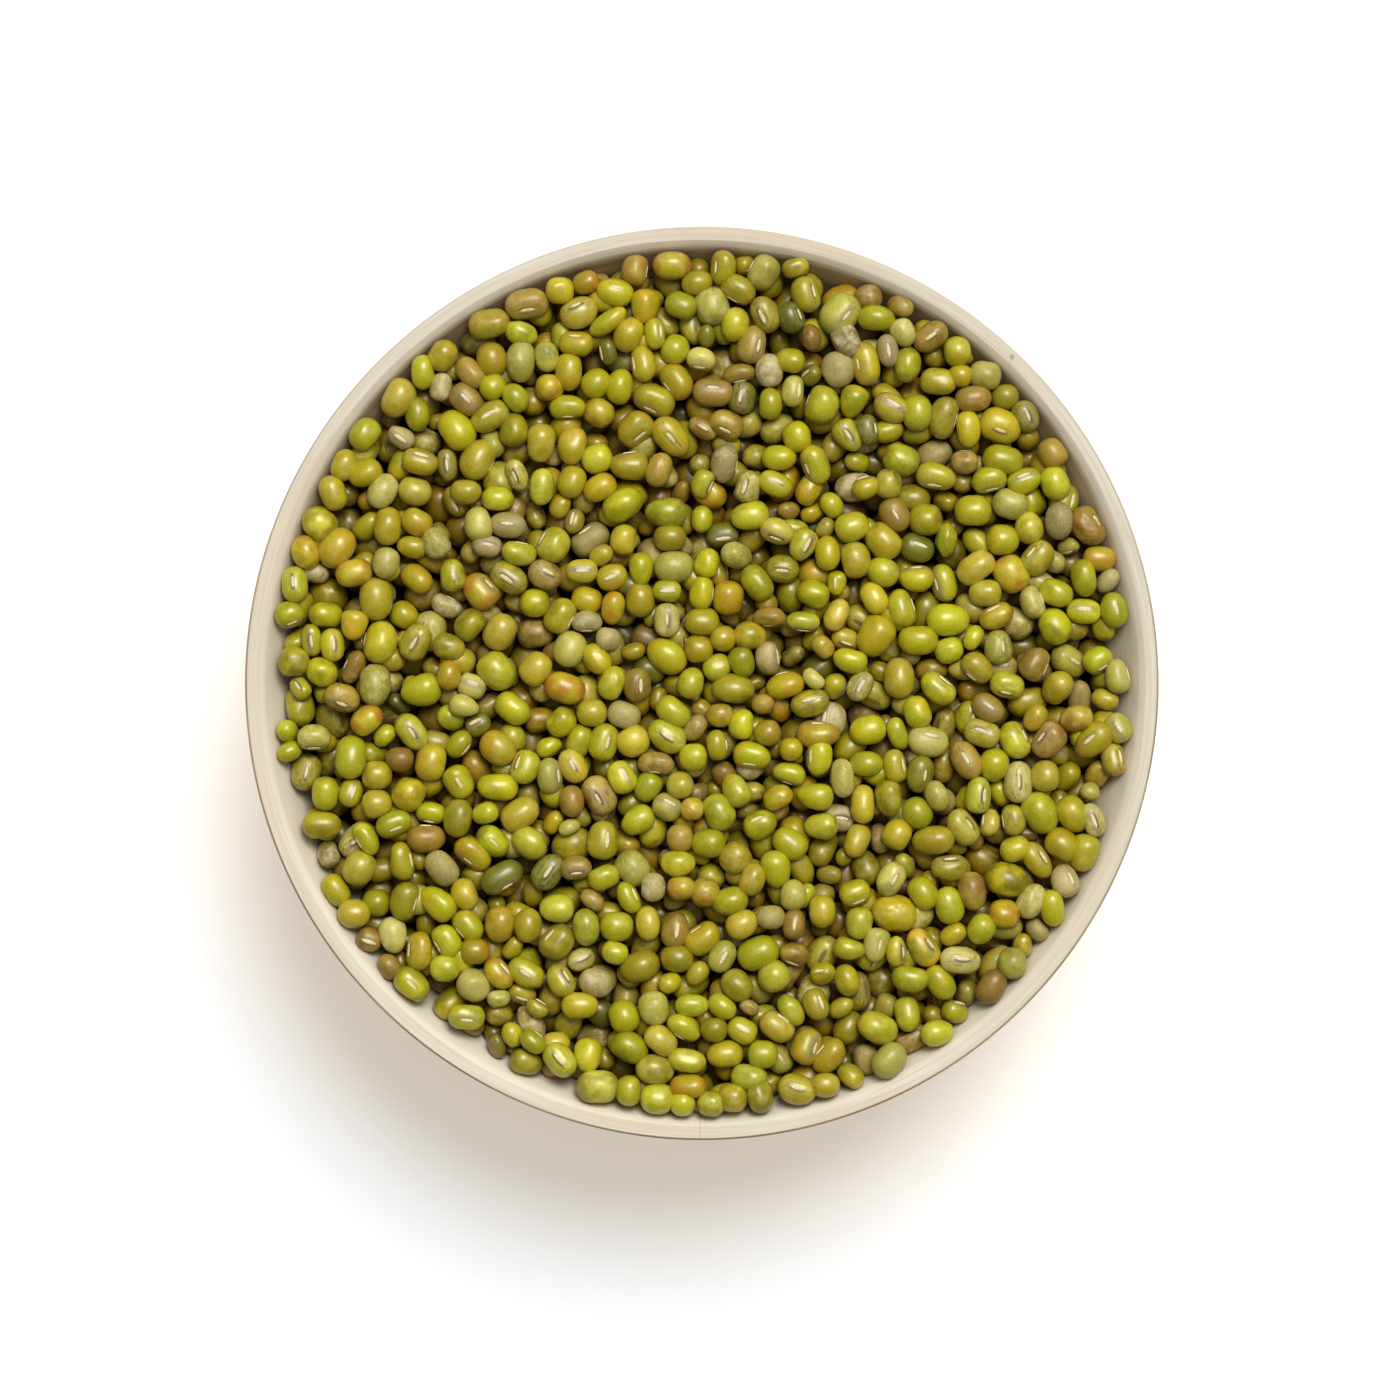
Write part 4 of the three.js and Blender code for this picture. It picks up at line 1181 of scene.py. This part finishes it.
def make_beans():
    """One piece for each kind of bean, and one for the scars of all."""
    beans = pile_beans()
    names = list(KINDS)
    shares = np.array([kind["share"] for kind in KINDS.values()])
    parts = {name: [] for name in names}
    scars = []
    for bean in beans:
        kind = bean.get("kind") or names[RNG.choice(len(names), p=shares / shares.sum())]
        in_sight = bean["shown"] > SEEN_FROM
        wrinkled = bean.get("wrinkled", RNG.random() < WRINKLED)
        form = random_form(RNG.uniform(*CRINKLE) if wrinkled else 0.0)
        grid = (WRINKLED_GRID if wrinkled else FINE_GRID) if in_sight else PLAIN_GRID
        # Painted shade: a deeper bean's colours are painted browner and darker.
        painted_shade = painted_depth_shade(bean)
        skin = mixed_colour(KINDS[kind]["skins"], SKIN_SPREAD) * painted_shade
        blush = mixed_colour(KINDS[kind]["blushes"], BLUSH_SPREAD) * painted_shade
        data = {"own": RNG.random(3), "skin": skin, "blush": blush}
        scar_size = RNG.uniform(*SCAR_SIZES)

        def placed(grid, local):
            return {"grid": grid, "local": local, "points": local @ bean["axes"].T + bean["place"], **data}

        parts[kind].append(placed(grid, bean_surface(grid.polar, grid.turn, bean["semi"], form)))
        if in_sight and bean["axes"][2, 2] > SCAR_UP and painted_shade[0] > SCAR_LIGHT:
            scars.append(placed(SCAR_GRID, bean_scar(SCAR_GRID, bean["semi"], form, scar_size)))
    for name in names:
        join_beans(name, bean_material(name + "_skin", **KINDS[name]["coat"]), parts[name])
    join_beans("bean_scars", scar_material(), scars)


def make_core():
    """The lower beans, which no one sees, as one body clear of the wall, dark as painted shade."""
    wall = INSIDE[::-1] + (-CORE_GAP, CORE_GAP)
    below = wall[wall[:, 1] < core_top(wall[:, 0])]
    top_radius = np.linspace(below[-1, 0], 0, 30)
    top = np.stack([top_radius, core_top(top_radius)], 1)
    profile = np.vstack([[(0, FLOOR_HEIGHT + CORE_GAP)], below, top])
    core = make_piece("bean_core", *turned(profile, CORE_AROUND), core_material())
    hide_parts("beans")
    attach(core, "root")


# ---------------------------------------------------------------- floor, light and camera

def make_floor():
    mesh = bpy.data.meshes.new("floor")
    reach = 4.0  # metres
    corners = [(-reach, -reach, 0), (reach, -reach, 0), (reach, reach, 0), (-reach, reach, 0)]
    mesh.from_pydata(corners, [], [(0, 1, 2, 3)])
    mesh.materials.append(floor_material())
    floor = bpy.data.objects.new("floor", mesh)
    bpy.context.scene.collection.objects.link(floor)


def add_sun(name, azimuth, from_zenith, across, strength, colour=(1, 1, 1), gloss=True):
    """A light that lights a facing white surface with the given strength, as wide as the given angle. Degrees."""
    azimuth, from_zenith = math.radians(azimuth), math.radians(from_zenith)
    direction = Vector((
        math.sin(from_zenith) * math.cos(azimuth),
        math.sin(from_zenith) * math.sin(azimuth),
        math.cos(from_zenith),
    ))
    light = bpy.data.lights.new(name, "SUN")
    light.angle = math.radians(across)
    light.energy = strength * math.pi
    light.color = colour
    sun = bpy.data.objects.new(name, light)
    sun.visible_glossy = gloss
    sun.rotation_euler = direction.to_track_quat("Z", "Y").to_euler()
    bpy.context.scene.collection.objects.link(sun)


def make_lights():
    """A soft light from the picture's top, a little right, a far wider one behind it, a sky and a white surround.
    Only the first and the surround show as reflections."""
    add_sun("key", 70, 28, 28, 0.52)
    add_sun("window", 74, 32, 110, 0.27, (1, 0.98, 0.94), gloss=False)
    add_sun("sky", 0, 0, 160, 0.1, (1, 0.96, 0.9), gloss=False)
    world = bpy.data.worlds.new("surround")
    world.use_nodes = True
    world.node_tree.nodes["Background"].inputs["Color"].default_value = (1, 0.96, 0.9, 1)
    world.node_tree.nodes["Background"].inputs["Strength"].default_value = 0.1
    bpy.context.scene.world = world


def make_camera():
    camera = bpy.data.cameras.new("camera")
    camera.sensor_width = SENSOR
    camera.lens = LENS
    view = bpy.data.objects.new("camera", camera)
    view.location = (CAMERA_X * MM, CAMERA_Y * MM, (BOWL_HEIGHT + CAMERA_RISE) * MM)
    bpy.context.scene.collection.objects.link(view)
    bpy.context.scene.camera = view


bpy.context.scene.view_settings.view_transform = "Standard"
bpy.context.scene.view_settings.look = "High Contrast"
make_floor()
make_lights()
make_camera()
make_bowl(wood_material())
make_core()
make_beans()
